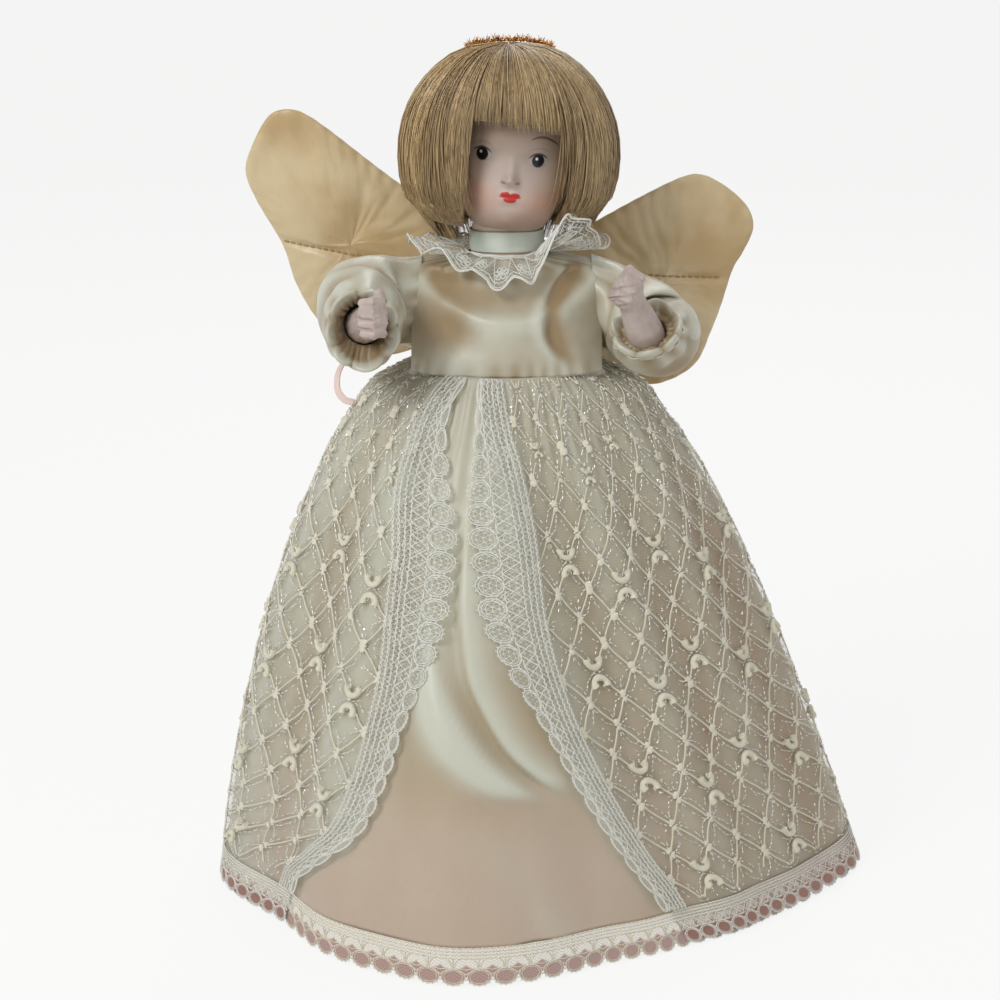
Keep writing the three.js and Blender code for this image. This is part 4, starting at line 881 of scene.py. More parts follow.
def net(name, colour, pitch, thread, veil):
    """Net: round holes between fine threads. veil is how much shows between the threads."""
    def varied(place, flat):
        across, down = flat.apart(0) / pitch, flat.apart(1) / pitch
        slanting = (across + down * 0.58).from_line().least((across - down * 0.58).from_line())
        nearest = slanting.least((down * 1.16).from_line())
        held = nearest.ramp(thread * 0.6, thread * 1.5, 1.0, 0.0)
        cloud = place.noise(70, 2.0)
        darker = tuple(0.9 * c for c in colour[:3]) + (1.0,)
        return {"Base Color": cloud.ramp(0.3, 0.7).between(colour, darker),
                "Roughness": cloud.ramp(0.2, 0.8, 0.65, 0.85), "Alpha": held * (1 - veil) + veil}
    return finish(name, {"Sheen Weight": 0.1, "Specular IOR Level": 0.3}, varied)


lace_cord = cotton_lace("lace_cord", dye(251, 253, 250), dye(232, 233, 226))
lace_net = net("lace_net", dye(232, 234, 226), 0.0017, 0.055, 0.06)
across, out = np.meshgrid(np.arange(480) / 480, np.linspace(0, 0.97, 26))
flat = np.stack([across * 0.215, out * 0.022], -1)
collar = surface("collar_net", collar_point(across, out, 0.3), lace_net, flat, around=True)
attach(collar, "doll")
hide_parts("lace_collar")
# Its cords: two by the neck, three along the scallops, and in each scallop a flower of six petals
# and a stalk to each side.
scallops, cord_lift = 19, 0.35
run = np.linspace(0, 1, 24 * scallops + 1)
edge = 0.9 + 0.1 * np.abs(np.sin(np.pi * scallops * run))
lines, widths = [], []
for out, thick in ((0.04 + 0 * run, 1.2), (0.12 + 0 * run, 0.8),
                   (edge, 1.25), (edge - 0.055, 0.7), (edge - 0.17, 0.6)):
    lines.append(collar_point(run, out, cord_lift))
    widths.append(np.full(len(run), thick))
turn, steps = np.linspace(0, 2 * np.pi, 15), np.linspace(0, 1, 9)
for number in range(scallops):
    middle = (number + 0.5) / scallops
    for petal in range(6):
        aim = petal * np.pi / 3
        far = 0.5 + 0.5 * np.cos(turn)
        px = 0.105 * far * np.cos(aim) - 0.035 * np.sin(turn) * np.sin(aim)
        py = 0.105 * far * np.sin(aim) + 0.035 * np.sin(turn) * np.cos(aim)
        lines.append(collar_point(middle + px / scallops * 3.1, 0.58 + py * 1.75, 0.4))
        widths.append(np.full(len(turn), 0.75))
    for side in (-1, 1):
        across = middle + side * (0.5 - 0.28 * steps) / scallops
        lines.append(collar_point(across, 0.14 + 0.7 * steps, cord_lift))
        widths.append(np.full(len(steps), 0.6))
collar_cords = spun("collar_cords", lines, 0.3, lace_cord, 4, widths)
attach(collar_cords, "doll")

# Bodice: ivory satin in a front and a back, sewn at the sides and drawn over the padding, with open
# armholes. It hangs in one wide swag across the chest, and is sewn to the skirts at the waist.


def draped_satin(place, flat):
    """Satin coloured by the painted light and shade that the mesh holds, 0 for painted shade to 1 for painted
    sheen on its folds, over a fine slanting twill.
    """
    painted_sheen, ridge = place.attribute("painted_sheen"), flat.twill(0.0007)
    cloud, creases = place.noise(40, 3.0), place.noise(170, 3.0, (1, 1, 0.35))
    tone = painted_sheen + (cloud.ramp(0.3, 0.7) - 0.5) * 0.3 + (ridge - 0.5) * 0.1
    height = creases * 0.92 + ridge * 0.05 + place.noise(2400) * 0.03
    return {"Base Color": tone.ramp(0.0, 1.0).between(dye(154, 132, 98), dye(208, 210, 196)),
            "Normal": height.bump(0.0003), "Roughness": painted_sheen.ramp(0.1, 0.9, 0.44, 0.3) + ridge * 0.05}


# The mesh holds its painted light and shade, 0 for painted shade to 1 for painted sheen, which colour its
# satin.
def set_painted_sheen(made, painted_sheen):
    mark(made.data, "painted_sheen", np.clip(np.asarray(painted_sheen, float), 0, 1))


def give_thickness(cloth, thickness):
    wall = cloth.modifiers.new("cloth", "SOLIDIFY")
    wall.thickness, wall.offset = thickness * MM, -1


ivory = finish("ivory_satin", {"Sheen Weight": 0.15, "Sheen Roughness": 0.4, "Specular IOR Level": 0.55},
               draped_satin)
waist_half_width, waist_half_depth, waist_forward, armhole_half_span = 40.5, 30, 4, 32.4
bodice_profile = [
    (0, 0.98, 0.98, 1), (0.09, 0.965, 0.98, 0.92), (0.22, 0.94, 0.96, 0.75), (0.41, 0.92, 0.92, 0.5),
    (0.61, 0.9, 0.85, 0.3), (0.787, 0.875, 0.7, 0.15), (0.9, 0.83, 0.54, 0.05), (0.95, 0.62, 0.49, 0)]
neckline, shoulder_share = 14.2, 0.95
turn = np.arange(300) * 2 * np.pi / 300
bodice_forms = curves_through(bodice_profile)


def bodice_folds(x, height, front):
    """How far the front's folds stand out in millimetres, and their painted sheen and shade, from across and
    up.
    """
    swag = height - 0.47 - 0.36 * (x / 30) ** 2
    ridge = np.exp(-(swag / np.where(swag < 0, 0.16, 0.07)) ** 2) * front
    above = np.exp(-((swag - 0.2) / 0.1) ** 2) * front
    bend = 24 - 9 * np.sin(np.pi * np.clip(height, 0, 0.95) / 0.95)
    right_pit = np.exp(-((x + bend + 3) / 7.5) ** 2) * soft_step(height, 0.0, 0.55)
    left_pit = np.exp(-((x - bend) / 3.2) ** 2) * soft_step(height, 0.02, 0.3)
    left_lip = np.exp(-((x - bend + 4.6) / 2.2) ** 2) * soft_step(height, 0.02, 0.3)
    glint = np.exp(-((x + 17) / 7) ** 2 - ((height - 0.12) / 0.14) ** 2)
    lift = 1.5 * ridge - 0.7 * above - (1.2 * right_pit + 1.4 * left_pit - 0.9 * left_lip) * front
    # Painted sheen on the swag's ridge, the left fold's lip and a glint low on the chest's right; painted
    # shade above the swag and in the armpits' hollows.
    shine = 0.3 * left_lip + 0.4 * glint - 0.5 * right_pit - 0.7 * left_pit
    return lift, 0.48 + 0.36 * ridge - 0.12 * above + shine * front


rows, shown = [], []
for height in np.concatenate([[-0.03], np.linspace(0, 0.9, 70), np.linspace(0.905, 1.0, 16)]):
    if height <= shoulder_share:
        wide, deep, forward = (form(max(height, 0)) for form in bodice_forms)
        half_width, half_depth = waist_half_width * wide, waist_half_depth * deep
        shift = waist_forward * forward
    else:
        s = (height - shoulder_share) / 0.05
        half_width = waist_half_width * 0.62 * (1 - s) + neckline * s
        half_depth = waist_half_depth * 0.49 * (1 - s) + neckline * s
        shift = 0
    front = np.exp(-((np.degrees(turn) - 270) / 66) ** 6)
    gathers = 0.22 * np.sin(37 * turn + 3.1 * np.sin(5 * turn)) * (1 - soft_step(height, 0.0, 0.2))
    neck_folds = 0.4 * np.sin(24 * turn + 2 * np.sin(3 * turn)) * soft_step(height, 0.72, 0.92)
    lift, painted_sheen = bodice_folds(half_width * np.cos(turn), height, front)
    grow = gathers + neck_folds + lift * (1 - soft_step(height, 0.86, 0.95))
    x = np.clip((half_width + grow) * np.cos(turn), -armhole_half_span, armhole_half_span)
    y = (half_depth + grow) * np.sin(turn) - shift
    rows.append(np.stack([x, y, np.full(len(turn), bodice_length * height)], -1))
    # The gathers' and neck folds' ridges get painted sheen, their hollows painted shade.
    shown.append(painted_sheen + gathers * 0.5 + neck_folds * 0.4)
flat = flat_cut(0.225, 0.042, len(rows), len(turn))
bodice = surface("bodice_satin", np.array(rows) + torso_axis, ivory, flat, around=True)
set_painted_sheen(bodice, shown)
give_thickness(bodice, 0.45)
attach(bodice, "doll")
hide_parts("bodice")

# Arm wires: one soft iron wire through the padding, and one for each arm, hooked over it and glued
# into the forearm's socket. They hold the pose that the arms are bent to.


def dull_iron(place, flat):
    scale = place.noise(700, 3.0)
    return {"Base Color": scale.between(dye(150, 148, 144), dye(104, 98, 92)),
            "Roughness": scale.ramp(0.2, 0.8, 0.35, 0.6), "Normal": scale.bump(0.00004)}


iron = finish("arm_wire_iron", {"Metallic": 1.0}, dull_iron)
for node in ("shoulder_wire", "right_arm_wire", "left_arm_wire"):
    refinish(node, iron)

# Forearms: cast bisque from below the elbow to a half-closed fist, smooth and unpainted. The creases between
# the fingers are sunk a little and get a painted shade, darker and pinker.


def hand_with_crease_shade(place, flat):
    crease, speckle, cloud = place.attribute("crease"), place.noise(2600, 4.0), place.noise(200, 2.0)
    skin = (cloud.ramp(0.3, 0.7) * 0.7 + speckle * 0.3).between(dye(204, 192, 187), dye(184, 169, 164))
    # The creases between the fingers get a painted shade.
    return {"Base Color": (crease * 0.6).between(skin, dye(138, 108, 104)),
            "Roughness": speckle.ramp(0.2, 0.8, 0.46, 0.6), "Normal": speckle.bump(0.00005)}


hand_bisque = finish("hand_bisque", {**skin_depth, "Subsurface Scale": 0.003, "Specular IOR Level": 0.4},
                     hand_with_crease_shade)
# For each hand, its middle and the way its fingers lie one over the other.
hand_forms = {"right": ((-57.1, -58.3, 215.0), (-0.12, -0.2, 0.97)),
              "left": ((26.4, -44.3, 221.7), (-0.15, 0.12, 0.98))}
for name, (middle, stack) in hand_forms.items():
    forearm = soft_copy(name + "_forearm_cast", name + "_forearm", 0.3, 9, hand_bisque)
    places, normals = vertex_arrays(forearm)
    stack = np.array(stack) / np.linalg.norm(stack)
    up = (places - middle) @ stack
    toward = np.clip(-normals[:, 1] * 0.8 - normals[:, 0] * 0.6, 0, 1)
    on_fist = toward * (1 - soft_step(np.linalg.norm(places - middle, axis=1), 7.5, 10))
    crease = sum(np.exp(-(((up - level) / 0.42) ** 2)) for level in (-4.6, -1.5, 1.6)) * on_fist
    set_places(forearm, places - normals * (0.6 * crease)[:, None])
    mark(forearm.data, "crease", crease)
    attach(forearm, name + "_arm")
    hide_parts(name + "_forearm")

# Sleeves: full satin sleeves, gathered into the armhole and again at the wrist, where the hem is
# turned in over elastic and stands out as a frill.

arm_length, shoulder_radius, elbow_radius, sleeve_long, tucked_in = 50, 13.4, 14.4, 56.0, 4.2
forearm_length, wrist_radius, cuff_fold, cuff_inset = 26, 6.5, 8.5, 0.8 + 0.35 + 0.6
# For each arm: its elbow, mouth and fist from the armhole, in arm lengths; the ways that its forearm
# and its mouth point; the elbow's height and the mouth's half width and height, in elbow radii; and
# how deep and how wide its cuff is folded in.
arm_forms = {
    "right": dict(side=-1, elbow=(0.33, -0.34, 0), mouth=(0.286, -0.92, -0.034), fist=(0.214, -1.12, 0.08),
                  forearm=(-0.18, -0.95, 0.29), facing=(-0.06, -0.99, 0.13),
                  tall=1.12, across=0.81, upward=0.92, fold=(0.33, 0.86)),
    "left": dict(side=1, elbow=(0.36, -0.36, -0.18), mouth=(0.275, -0.64, -0.1), fist=(0.132, -0.84, 0.214),
                 forearm=(-0.316, -0.506, 0.8), facing=(-0.2, -0.6, 0.77),
                 tall=1, across=0.8, upward=0.8, fold=(0.1, 0.78))}
armholes = {"right": np.array([-46.4, -2.3, 211.0]), "left": np.array([19.8, -2.3, 211.0])}


def path_ring(count, centre, direction, across, upward):
    """An oval ring round a path, upright as far as the path's direction lets it be."""
    normal = np.asarray(direction, float) / np.linalg.norm(direction)
    up = np.array([0, 0, 1.0]) - normal * normal[2]
    up /= np.linalg.norm(up)
    side = np.cross(up, normal)
    turn = np.arange(count) * 2 * np.pi / count
    return centre + np.outer(across * np.cos(turn), side) + np.outer(upward * np.sin(turn), up)


def crumple(points, scale, seed):
    """A soft, uneven swell over a surface, about -1 to 1, from crossing waves."""
    pick = np.random.default_rng(seed)
    total = np.zeros(points.shape[:-1])
    for _ in range(7):
        aim = pick.normal(size=3)
        aim *= 2 * np.pi / scale / np.linalg.norm(aim) * pick.uniform(0.6, 1.5)
        total = total + np.sin(points @ aim + pick.uniform(0, 6.28) + 0.8 * np.sin(points @ aim[[1, 2, 0]]))
    return total / 4


for name, arm in arm_forms.items():
    hole, side = armholes[name], arm["side"]
    place = lambda share: hole + np.array(share) * (side, 1, 1) * arm_length
    point = lambda share: np.array(share) * (side, 1, 1) / np.linalg.norm(share)
    elbow, mouth, fist = place(arm["elbow"]), place(arm["mouth"]), place(arm["fist"])
    facing, forearm_aim = point(arm["facing"]), point(arm["forearm"])
    outwards = np.array([side, 0, 0.0])
    height = elbow_radius * arm["tall"]
    across, upward = arm["across"] * elbow_radius, arm["upward"] * elbow_radius
    steps, around = 84, 150
    share = np.linspace(0, 1, steps)
    upper, lower = hole * 0.55 + elbow * 0.45 + outwards * 2.2, elbow * 0.5 + mouth * 0.5 - outwards * 0.4
    route = smooth_path(np.array([hole - outwards * tucked_in, upper, elbow, lower, mouth]), steps)
    aims = np.gradient(route, axis=0)
    aims /= np.linalg.norm(aims, axis=1)[:, None]
    start, stop = soft_step(share, 0.42, 0.0)[:, None], soft_step(share, 0.55, 1.0)[:, None]
    aims = aims * (1 - start) * (1 - stop) + outwards * start + facing * stop
    wide = through([(0, shoulder_radius + 1.1), (0.1, shoulder_radius + 1.4), (0.3, elbow_radius + 0.5),
                    (0.5, elbow_radius), (0.8, elbow_radius * 0.93), (0.94, across + 0.9),
                    (1, across - 0.3)])(share)
    tall = through([(0, shoulder_radius + 1.3), (0.1, shoulder_radius + 1.2), (0.3, height), (0.5, height),
                    (0.8, height * 0.96), (0.94, upward + 0.9), (1, upward - 0.3)])(share)
    rings = np.array([path_ring(around, c, a, w, t) for c, a, w, t in zip(route, aims, wide, tall)])
    out = rings - route[:, None]
    out /= np.linalg.norm(out, axis=2)[..., None]
    turn = (np.arange(around) * 2 * np.pi / around)[None]
    far = share[:, None] * sleeve_long
    at_hole = np.exp(-far / 7) * np.sin(12 * turn + 1.6 * np.sin(3 * turn))
    at_mouth = np.exp(-(sleeve_long - far) / 7) * np.sin(10 * turn + 1.2 * np.sin(2 * turn))
    swell = np.sin(np.pi * share[:, None]) ** 0.7
    drag = np.sin(15 * share[:, None] + 2.6 * np.sin(turn + 0.6 * side) + 1.0)
    drag = drag * np.sin(2.4 * turn + side) * swell
    soft = crumple(rings * (1, 1.2, 0.75), 21, 5 + side) * swell
    folds = 0.5 * at_hole + 0.8 * at_mouth + 0.75 * drag + 0.75 * soft
    flat = np.stack(np.broadcast_arrays(turn / 6.2832 * 0.092, far * 0.00095), -1)
    sleeve = surface(name + "_sleeve_satin", rings + out * folds[..., None], ivory, flat, around=True,
                     turned=side > 0)
    # Fold ridges and the sleeve's upper side get painted sheen, hollows and its underside painted shade.
    set_painted_sheen(sleeve, 0.5 + 0.42 * folds + 0.18 * out[..., 2])
    give_thickness(sleeve, 0.4)
    settle(sleeve)
    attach(sleeve, name + "_arm")
    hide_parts(name + "_sleeve")

    # The cuff's rings go out over the frill, back into the sleeve and down to the wrist. Each has its
    # middle, the way that it faces, its half width and height, and how far it is ruffled.
    socket = fist - forearm_aim * forearm_length
    reach = max(float((mouth - facing * cuff_fold - socket) @ forearm_aim), wrist_radius / 4)
    on_forearm = socket + forearm_aim * reach
    fold_depth, fold_width = arm["fold"]
    tucked = mouth - facing * fold_depth * cuff_fold
    inner_across, inner_upward = across - cuff_inset, upward - cuff_inset
    stations = [
        (mouth - facing * 1.4, facing, across - 0.1, upward - 0.1, 0.0),
        (mouth + facing * 0.6, facing, across + 0.7, upward + 0.7, 0.6),
        (mouth + facing * 1.9, facing, across + 0.5, upward + 0.5, 1.0),
        (mouth + facing * 2.0, facing, across - 0.4, upward - 0.4, 1.0),
        (mouth + facing * 0.6, facing, inner_across, inner_upward, 0.9),
        (mouth * 0.5 + tucked * 0.5, facing, inner_across * 0.93, inner_upward * 0.93, 0.8),
        (tucked, facing, fold_width * across - 1.4, fold_width * upward - 1.4, 0.8),
        (on_forearm * 0.5 + tucked * 0.5, facing * 0.5 + forearm_aim * 0.5,
         0.5 * fold_width * across + 3.0, 0.5 * fold_width * upward + 3.0, 0.5),
        (on_forearm, forearm_aim, 6.9, 6.9, 0.05)]
    steps, around = 44, 240
    turn = np.arange(around) * 2 * np.pi / around
    petal = 1.7 * np.abs(np.sin(3.5 * turn + 0.5 * np.sin(2 * turn + side))) ** 0.7 - 1
    pleats = np.abs(np.sin(10 * turn + 1.4 * np.sin(3 * turn)))
    rings = []
    for number, (centre, direction, wide, tall, ruffle) in enumerate(stations):
        ring = path_ring(around, centre, direction, wide, tall)
        inner = number > 3
        pull = 0.05 - 0.075 * petal if not inner else 0.03 + 0.2 * pleats * (number - 3) / 4
        ring = centre + (ring - centre) * (1 - ruffle * pull)[:, None]
        rings.append(ring + np.outer(petal, facing) * 1.7 * ruffle * (0.4 if inner else 1))
    rings = np.array(rings)
    rings = np.stack([smooth_path(rings[:, k], steps) for k in range(around)], 1)
    flat = flat_cut(0.1, 0.02, steps, around)
    cuff = surface(name + "_cuff_satin", rings, ivory, flat, around=True, turned=side > 0)
    inwards = np.linspace(0, 1, steps)[:, None]
    # The frill's petals get painted sheen, and the inside of the cuff painted shade, deeper in its pleats.
    set_painted_sheen(cuff, 0.62 + 0.25 * petal - 0.5 * soft_step(inwards, 0.25, 0.6) * (0.4 + pleats))
    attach(cuff, name + "_arm")
    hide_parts(name + "_cuff")

# Underskirt: ivory satin cut as a wide tube, gathered into the waist seam, and hanging in long soft
# folds over the cone. Its front shows between the overskirt's edges.

waist_height, hem_half_width, hem_half_depth, hem_aside, hem_yaw = 191, 118.5, 101, 12, math.radians(10)
skirt_spread = through([(0, 0), (0.073, 0.115), (0.157, 0.265), (0.387, 0.54), (0.707, 0.81), (1, 1)])
# Each fold: its angle at the waist and at the hem, its half width in degrees, and how far it stands out.
skirt_folds = [
    (-97, -63, 9, 0.045), (-112, -108, 8, 0.035), (-135, -138, 10, 0.04), (-168, -172, 12, 0.04),
    (160, 152, 13, 0.05), (128, 122, 12, 0.05), (98, 92, 12, 0.05), (66, 62, 12, 0.05),
    (34, 33, 12, 0.045), (4, 6, 11, 0.04), (-28, -20, 10, 0.045), (-62, -38, 9, 0.04)]


def apart(angle, degrees):
    return np.degrees(np.abs((angle - np.radians(degrees) + np.pi) % (2 * np.pi) - np.pi))


def oval(angle, half_width, half_depth):
    return 1 / np.hypot(np.cos(angle) / half_width, np.sin(angle) / half_depth)


def fold_humps(angle, fall):
    """For each fold, how near a place of the skirts is to its ridge, 1 on it and 0 far off."""
    return [np.exp(-((apart(angle, a + (b - a) * fall) / wide) ** 2)) for a, b, wide, _ in skirt_folds]


def skirt_point(angle, fall, lift):
    """A point of the skirts; fall is 0 at the waist seam and 1 at the floor."""
    hem = oval(angle - hem_yaw, hem_half_width, hem_half_depth)
    drawn_in = 0.13 * np.exp(-((apart(angle, -152) / 24) ** 2))
    hem = hem * (1 - 0.2 * np.exp(-((apart(angle, -46) / 42) ** 4)) - drawn_in)
    folds = sum(share * (hump - wide * math.sqrt(np.pi) / 360)
                for hump, (_, _, wide, share) in zip(fold_humps(angle, fall), skirt_folds))
    folds = folds * soft_step(fall, 0.02, 0.3) * (1.45 - 0.95 * fall)
    waist = oval(angle, waist_half_width * (0.78 + 0.22 * soft_step(fall, -0.005, 0.05)), waist_half_depth)
    spread = skirt_spread(fall) - 0.14 * np.cos(angle) * fall * (1 - fall)
    gathers = 0.55 * np.sin(52 * angle + 1.8 * np.sin(6 * angle)) * soft_step(fall, 0.0, 0.03)
    gathers = gathers * (1 - soft_step(fall, 0.05, 0.3))
    lift = lift * (0.25 + 0.75 * soft_step(fall, 0.0, 0.025))
    radius = (waist + (hem - waist) * spread) * (1 + folds) + lift + gathers
    x = radius * np.cos(angle) - hem_aside * (1 - fall) - 1.3
    y = waist_forward * (fall - 1) + radius * np.sin(angle) - 2.3
    return np.stack([x, y, waist_height * (1 - fall) + 0 * angle], -1)


def fall_of(height):
    return 1 - height / waist_height


# The front panel's big folds: the angle of the furrow between them at each fall, and of the edges of
# the opening that they show in.
furrow = through([(0.2, -110.5), (0.34, -110), (0.38, -109.5), (0.44, -108), (0.48, -106.8), (0.55, -102.5),
                  (0.61, -97.5), (0.664, -90), (0.7, -84)])
right_edge = through([(0, -118), (0.085, -124), (0.165, -124), (0.3, -120.7), (0.46, -120.3), (0.58, -122.5),
                      (0.683, -125.6), (0.765, -130.1), (0.831, -138.6), (0.896, -147.5), (1, -151)])
left_edge = through([(0, -104), (0.083, -99.4), (0.145, -94.8), (0.266, -90.6), (0.375, -89.4),
                     (0.458, -87.1), (0.556, -82.9), (0.644, -77.8), (0.739, -71.4), (0.823, -65),
                     (0.9, -58.5), (1, -53)])


def panel_folds(angle, fall):
    """How far the panel's folds stand out, their painted sheen and shade, 0 to 1, and where the panel is."""
    degrees = (np.degrees(angle) + 180) % 360 - 180
    across = (degrees - furrow(fall)) * np.pi / 180 * (45 + 60 * fall)
    held = soft_step(fall, 0.16, 0.34) * (1 - soft_step(fall, 0.655, 0.7))
    inside = soft_step(degrees, right_edge(fall) + 1, right_edge(fall) + 7)
    inside = inside * (1 - soft_step(degrees, left_edge(fall) - 7, left_edge(fall) - 1))
    right_ridge = np.exp(-np.abs((across - 5.5) / np.where(across < 5.5, 2.6, 7.0)) ** 2)
    left_ridge = np.exp(-np.abs((across + 8.0) / np.where(across < -8.0, 11.0, 4.2)) ** 2)
    groove = np.exp(-((across - 0.2) / 2.6) ** 2)
    brow = left_ridge * soft_step(fall, 0.42, 0.62) * (1 - soft_step(fall, 0.67, 0.71))
    drawn = 0.9 * np.exp(-((across + 24 - 26 * (fall - 0.5)) / 5) ** 2) * soft_step(fall, 0.6, 0.85)
    lift = (2.3 * right_ridge + 2.1 * left_ridge - 2.6 * groove) * held + 1.5 * brow
    streak = 0.8 * np.exp(-((across + 30 - 110 * (fall - 0.7)) / 7) ** 2) * soft_step(fall, 0.7, 0.8)
    # The ridges, the brow and a low streak get painted sheen, and the upper part of the skirt is painted
    # lighter.
    painted_sheen = np.clip(0.95 * right_ridge * held + 1.1 * left_ridge * held + 0.5 * brow, 0, 1)
    painted_sheen = np.maximum(painted_sheen, 0.68 * (1 - soft_step(fall, 0.36, 0.6)))
    return (lift - drawn + 0.35 * streak) * inside, np.maximum(painted_sheen, 0.2 * streak), inside


hem_lace_depth, floor_gap, overskirt_rise, overskirt_lift = 12.6, 0.4, 1.2, 1.5


def skirt_satin(place, flat):
    """Ivory where painted sheen lies on the satin, tan where painted shade or the net lies over it, with a
    slanting twill.
    """
    painted_sheen, ridge = place.attribute("painted_sheen"), flat.twill(0.0009)
    cloud, creases = place.noise(26, 2.0), place.noise(120, 3.0, (1, 1, 0.3))
    low = place.apart(2).ramp(0.03, 0.085)
    # Pinker towards the hem, and darker and warmer towards the doll's left: a painted shade on the side away
    # from the lamps.
    tan = low.between(dye(200, 181, 164), dye(178, 162, 134))
    tan = place.apart(0).ramp(0.015, 0.075).between(tan, dye(176, 142, 106))
    colour = (painted_sheen * 0.95 + cloud.ramp(0.4, 0.75) * 0.16).between(tan, dye(216, 220, 206))
    height = creases * 0.9 + ridge * 0.08 + place.noise(2400) * 0.02
    return {"Base Color": (ridge * 0.12).between(colour, dye(140, 122, 100)), "Normal": height.bump(0.0003),
            "Roughness": (painted_sheen * 0.7 + cloud * 0.3).ramp(0.1, 0.8, 0.46, 0.33)}


panel_satin = finish("skirt_satin", {"Sheen Weight": 0.15, "Sheen Roughness": 0.4, "Specular IOR Level": 0.5},
                     skirt_satin)
skirt_rows, skirt_columns, underskirt_lift, seam_fall = 145, 330, 0.55, 0.003
angle, fall = np.meshgrid(np.arange(skirt_columns) * 2 * np.pi / skirt_columns,
                          np.linspace(seam_fall, fall_of(floor_gap + hem_lace_depth - 0.3), skirt_rows))
lift, painted_sheen, inside = panel_folds(angle, fall)
ripple = 0.35 * crumple(np.stack([60 * np.cos(angle), 60 * np.sin(angle), 60 * fall], -1), 26, 9)
flat = np.stack([np.degrees(angle) / 360 * 0.69, fall * 0.2], -1)
underskirt = surface("underskirt_satin", skirt_point(angle, fall, underskirt_lift + lift + ripple),
                     panel_satin, flat, around=True, turned=True)
# Under the net the satin gets painted sheen on its big folds and on fine folds that are only painted, painted
# shade towards the doll's left, and painted light near the waist.
fine_fold_sheen = 0.25 * np.sin(17 * angle + 3 * np.sin(2 * angle)) ** 2
sheen_under_net = 0.1 + 0.75 * (sum(fold_humps(angle, fall)) - 0.35) * soft_step(fall, 0.0, 0.2) + fine_fold_sheen
sheen_under_net = sheen_under_net * (1 - 0.45 * soft_step(np.cos(angle), -0.2, 0.6))
sheen_under_net = sheen_under_net + 0.3 * (1 - soft_step(fall, 0.08, 0.35))
set_painted_sheen(underskirt, painted_sheen * inside + sheen_under_net * (1 - inside))
give_thickness(underskirt, 0.45)
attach(underskirt, "doll")
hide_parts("underskirt")

# Hem lace: cotton lace of four wavy cords, a strip of net with a stalk at each scallop, and round
# scallops of two rims with picots. One strip is sewn round the underskirt's hem by its cords.


def lace_cell(stalk):
    """One scallop's cords: points across (in scallops) and down (shares of the depth), and their thickness.

    A stalk joins the cords to the scallop; without one the cords between them cross as a net."""
    s = np.linspace(0, 1, 9)
    coarse = s[::2]
    cords = [(s, b + 0.011 * (-1.0) ** np.arange(9), 1.0) for b in (0.03, 0.115, 0.2, 0.285)]
    if stalk:
        cords += [(0.5 + side * (0.05 + 0.16 * (1 - s) ** 3), 0.31 + 0.26 * s, 1.1) for side in (-1, 1)]
        cords.append((0.5 + 0 * s[::4], 0.32 + 0.24 * s[::4], 1.0))
    else:
        cords += [(0.5 + side * 0.5 * (1 - coarse), 0.3 + 0.27 * coarse, 0.75) for side in (-1, 1)]
        cords += [(0.5 + side * 0.5 * coarse, 0.3 + 0.27 * coarse, 0.75) for side in (-1, 1)]
    cords += [(side * 0.28 + (side < 0) - 0.28 * side * coarse, 0.6 + 0.1 * coarse, 0.8) for side in (-1, 1)]
    cords += [(0.28 * side * coarse + (side < 0), 0.575 - 0.03 * coarse, 0.8) for side in (-1, 1)]
    turn = np.linspace(0, 2 * np.pi, 19)
    for rim, thick in ((1.0, 0.95), (0.8, 0.65)):
        cords.append((0.5 + 0.455 * rim * np.sin(turn), 0.765 - 0.205 * rim * np.cos(turn), thick))
    for k in range(-3, 4):
        aim = 0.42 * k
        px, py = 0.5 + 0.5 * np.sin(aim), 0.765 + 0.225 * np.cos(aim)
        ring = np.linspace(0, 2 * np.pi, 5)
        cords.append((px + 0.03 * np.cos(ring), py + 0.016 * np.sin(ring), 0.5))
    return cords


scallop_pitch = 0.0087


def lace_strip(name, place, count, depth, cord, cloth, stalk=False):
    """Cords and net of a strip of lace; place(across, down) gives points for 0 to 1 along and down it."""
    lines, widths = [], []
    cell = lace_cell(stalk)
    for number in range(count):
        for across, down, thick in cell:
            lines.append(place((number + across) / count, down))
            widths.append(np.full(len(across), thick))
    cords = spun(name + "_cords", lines, 0.24, cord, 4, widths)
    across, down = np.meshgrid(np.linspace(0, 1, count * 8 + 1), np.linspace(0, 1, 8))
    low = 0.76 + 0.2 * np.abs(np.sin(np.pi * count * across)) ** 0.8
    flat = np.stack([across * count * scallop_pitch, down * depth * MM], -1)
    strip = surface(name + "_net", place(across, down * low), cloth, flat, turned=True)
    for piece in (cords, strip):
        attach(piece, "doll")
    return strip, cords


def underskirt_lace_place(across, down):
    high = floor_gap + hem_lace_depth * (1 - down)
    return skirt_point(2 * np.pi * across, fall_of(high), 0.75)


def net_with_painted_shade(place, flat):
    """The hem's net: pale over the satin, and a painted rose-brown shade where it hangs free, as of the
    skirt's dark inside seen through it; darker still towards the doll's left, a painted shade.
    """
    pitch, along, down = 0.0012, flat.apart(0), flat.apart(1)
    net_lines = ((along + down) / pitch).from_line().least(((along - down) / pitch).from_line())
    low = down.ramp(0.0068, 0.0082)
    held = net_lines.ramp(0.05, 0.16, 1.0, 0.0)
    colour = low.between(dye(218, 212, 190), dye(152, 100, 90))
    colour = (place.apart(0).ramp(0.04, 0.1) * 0.6).between(colour, dye(168, 116, 102))
    return {"Base Color": (held * 0.35).between(colour, dye(226, 206, 190)),
            "Roughness": held.ramp(0.0, 1.0, 0.7, 0.85),
            "Alpha": held.most(low.ramp(0.0, 1.0, 0.34, 0.8))}


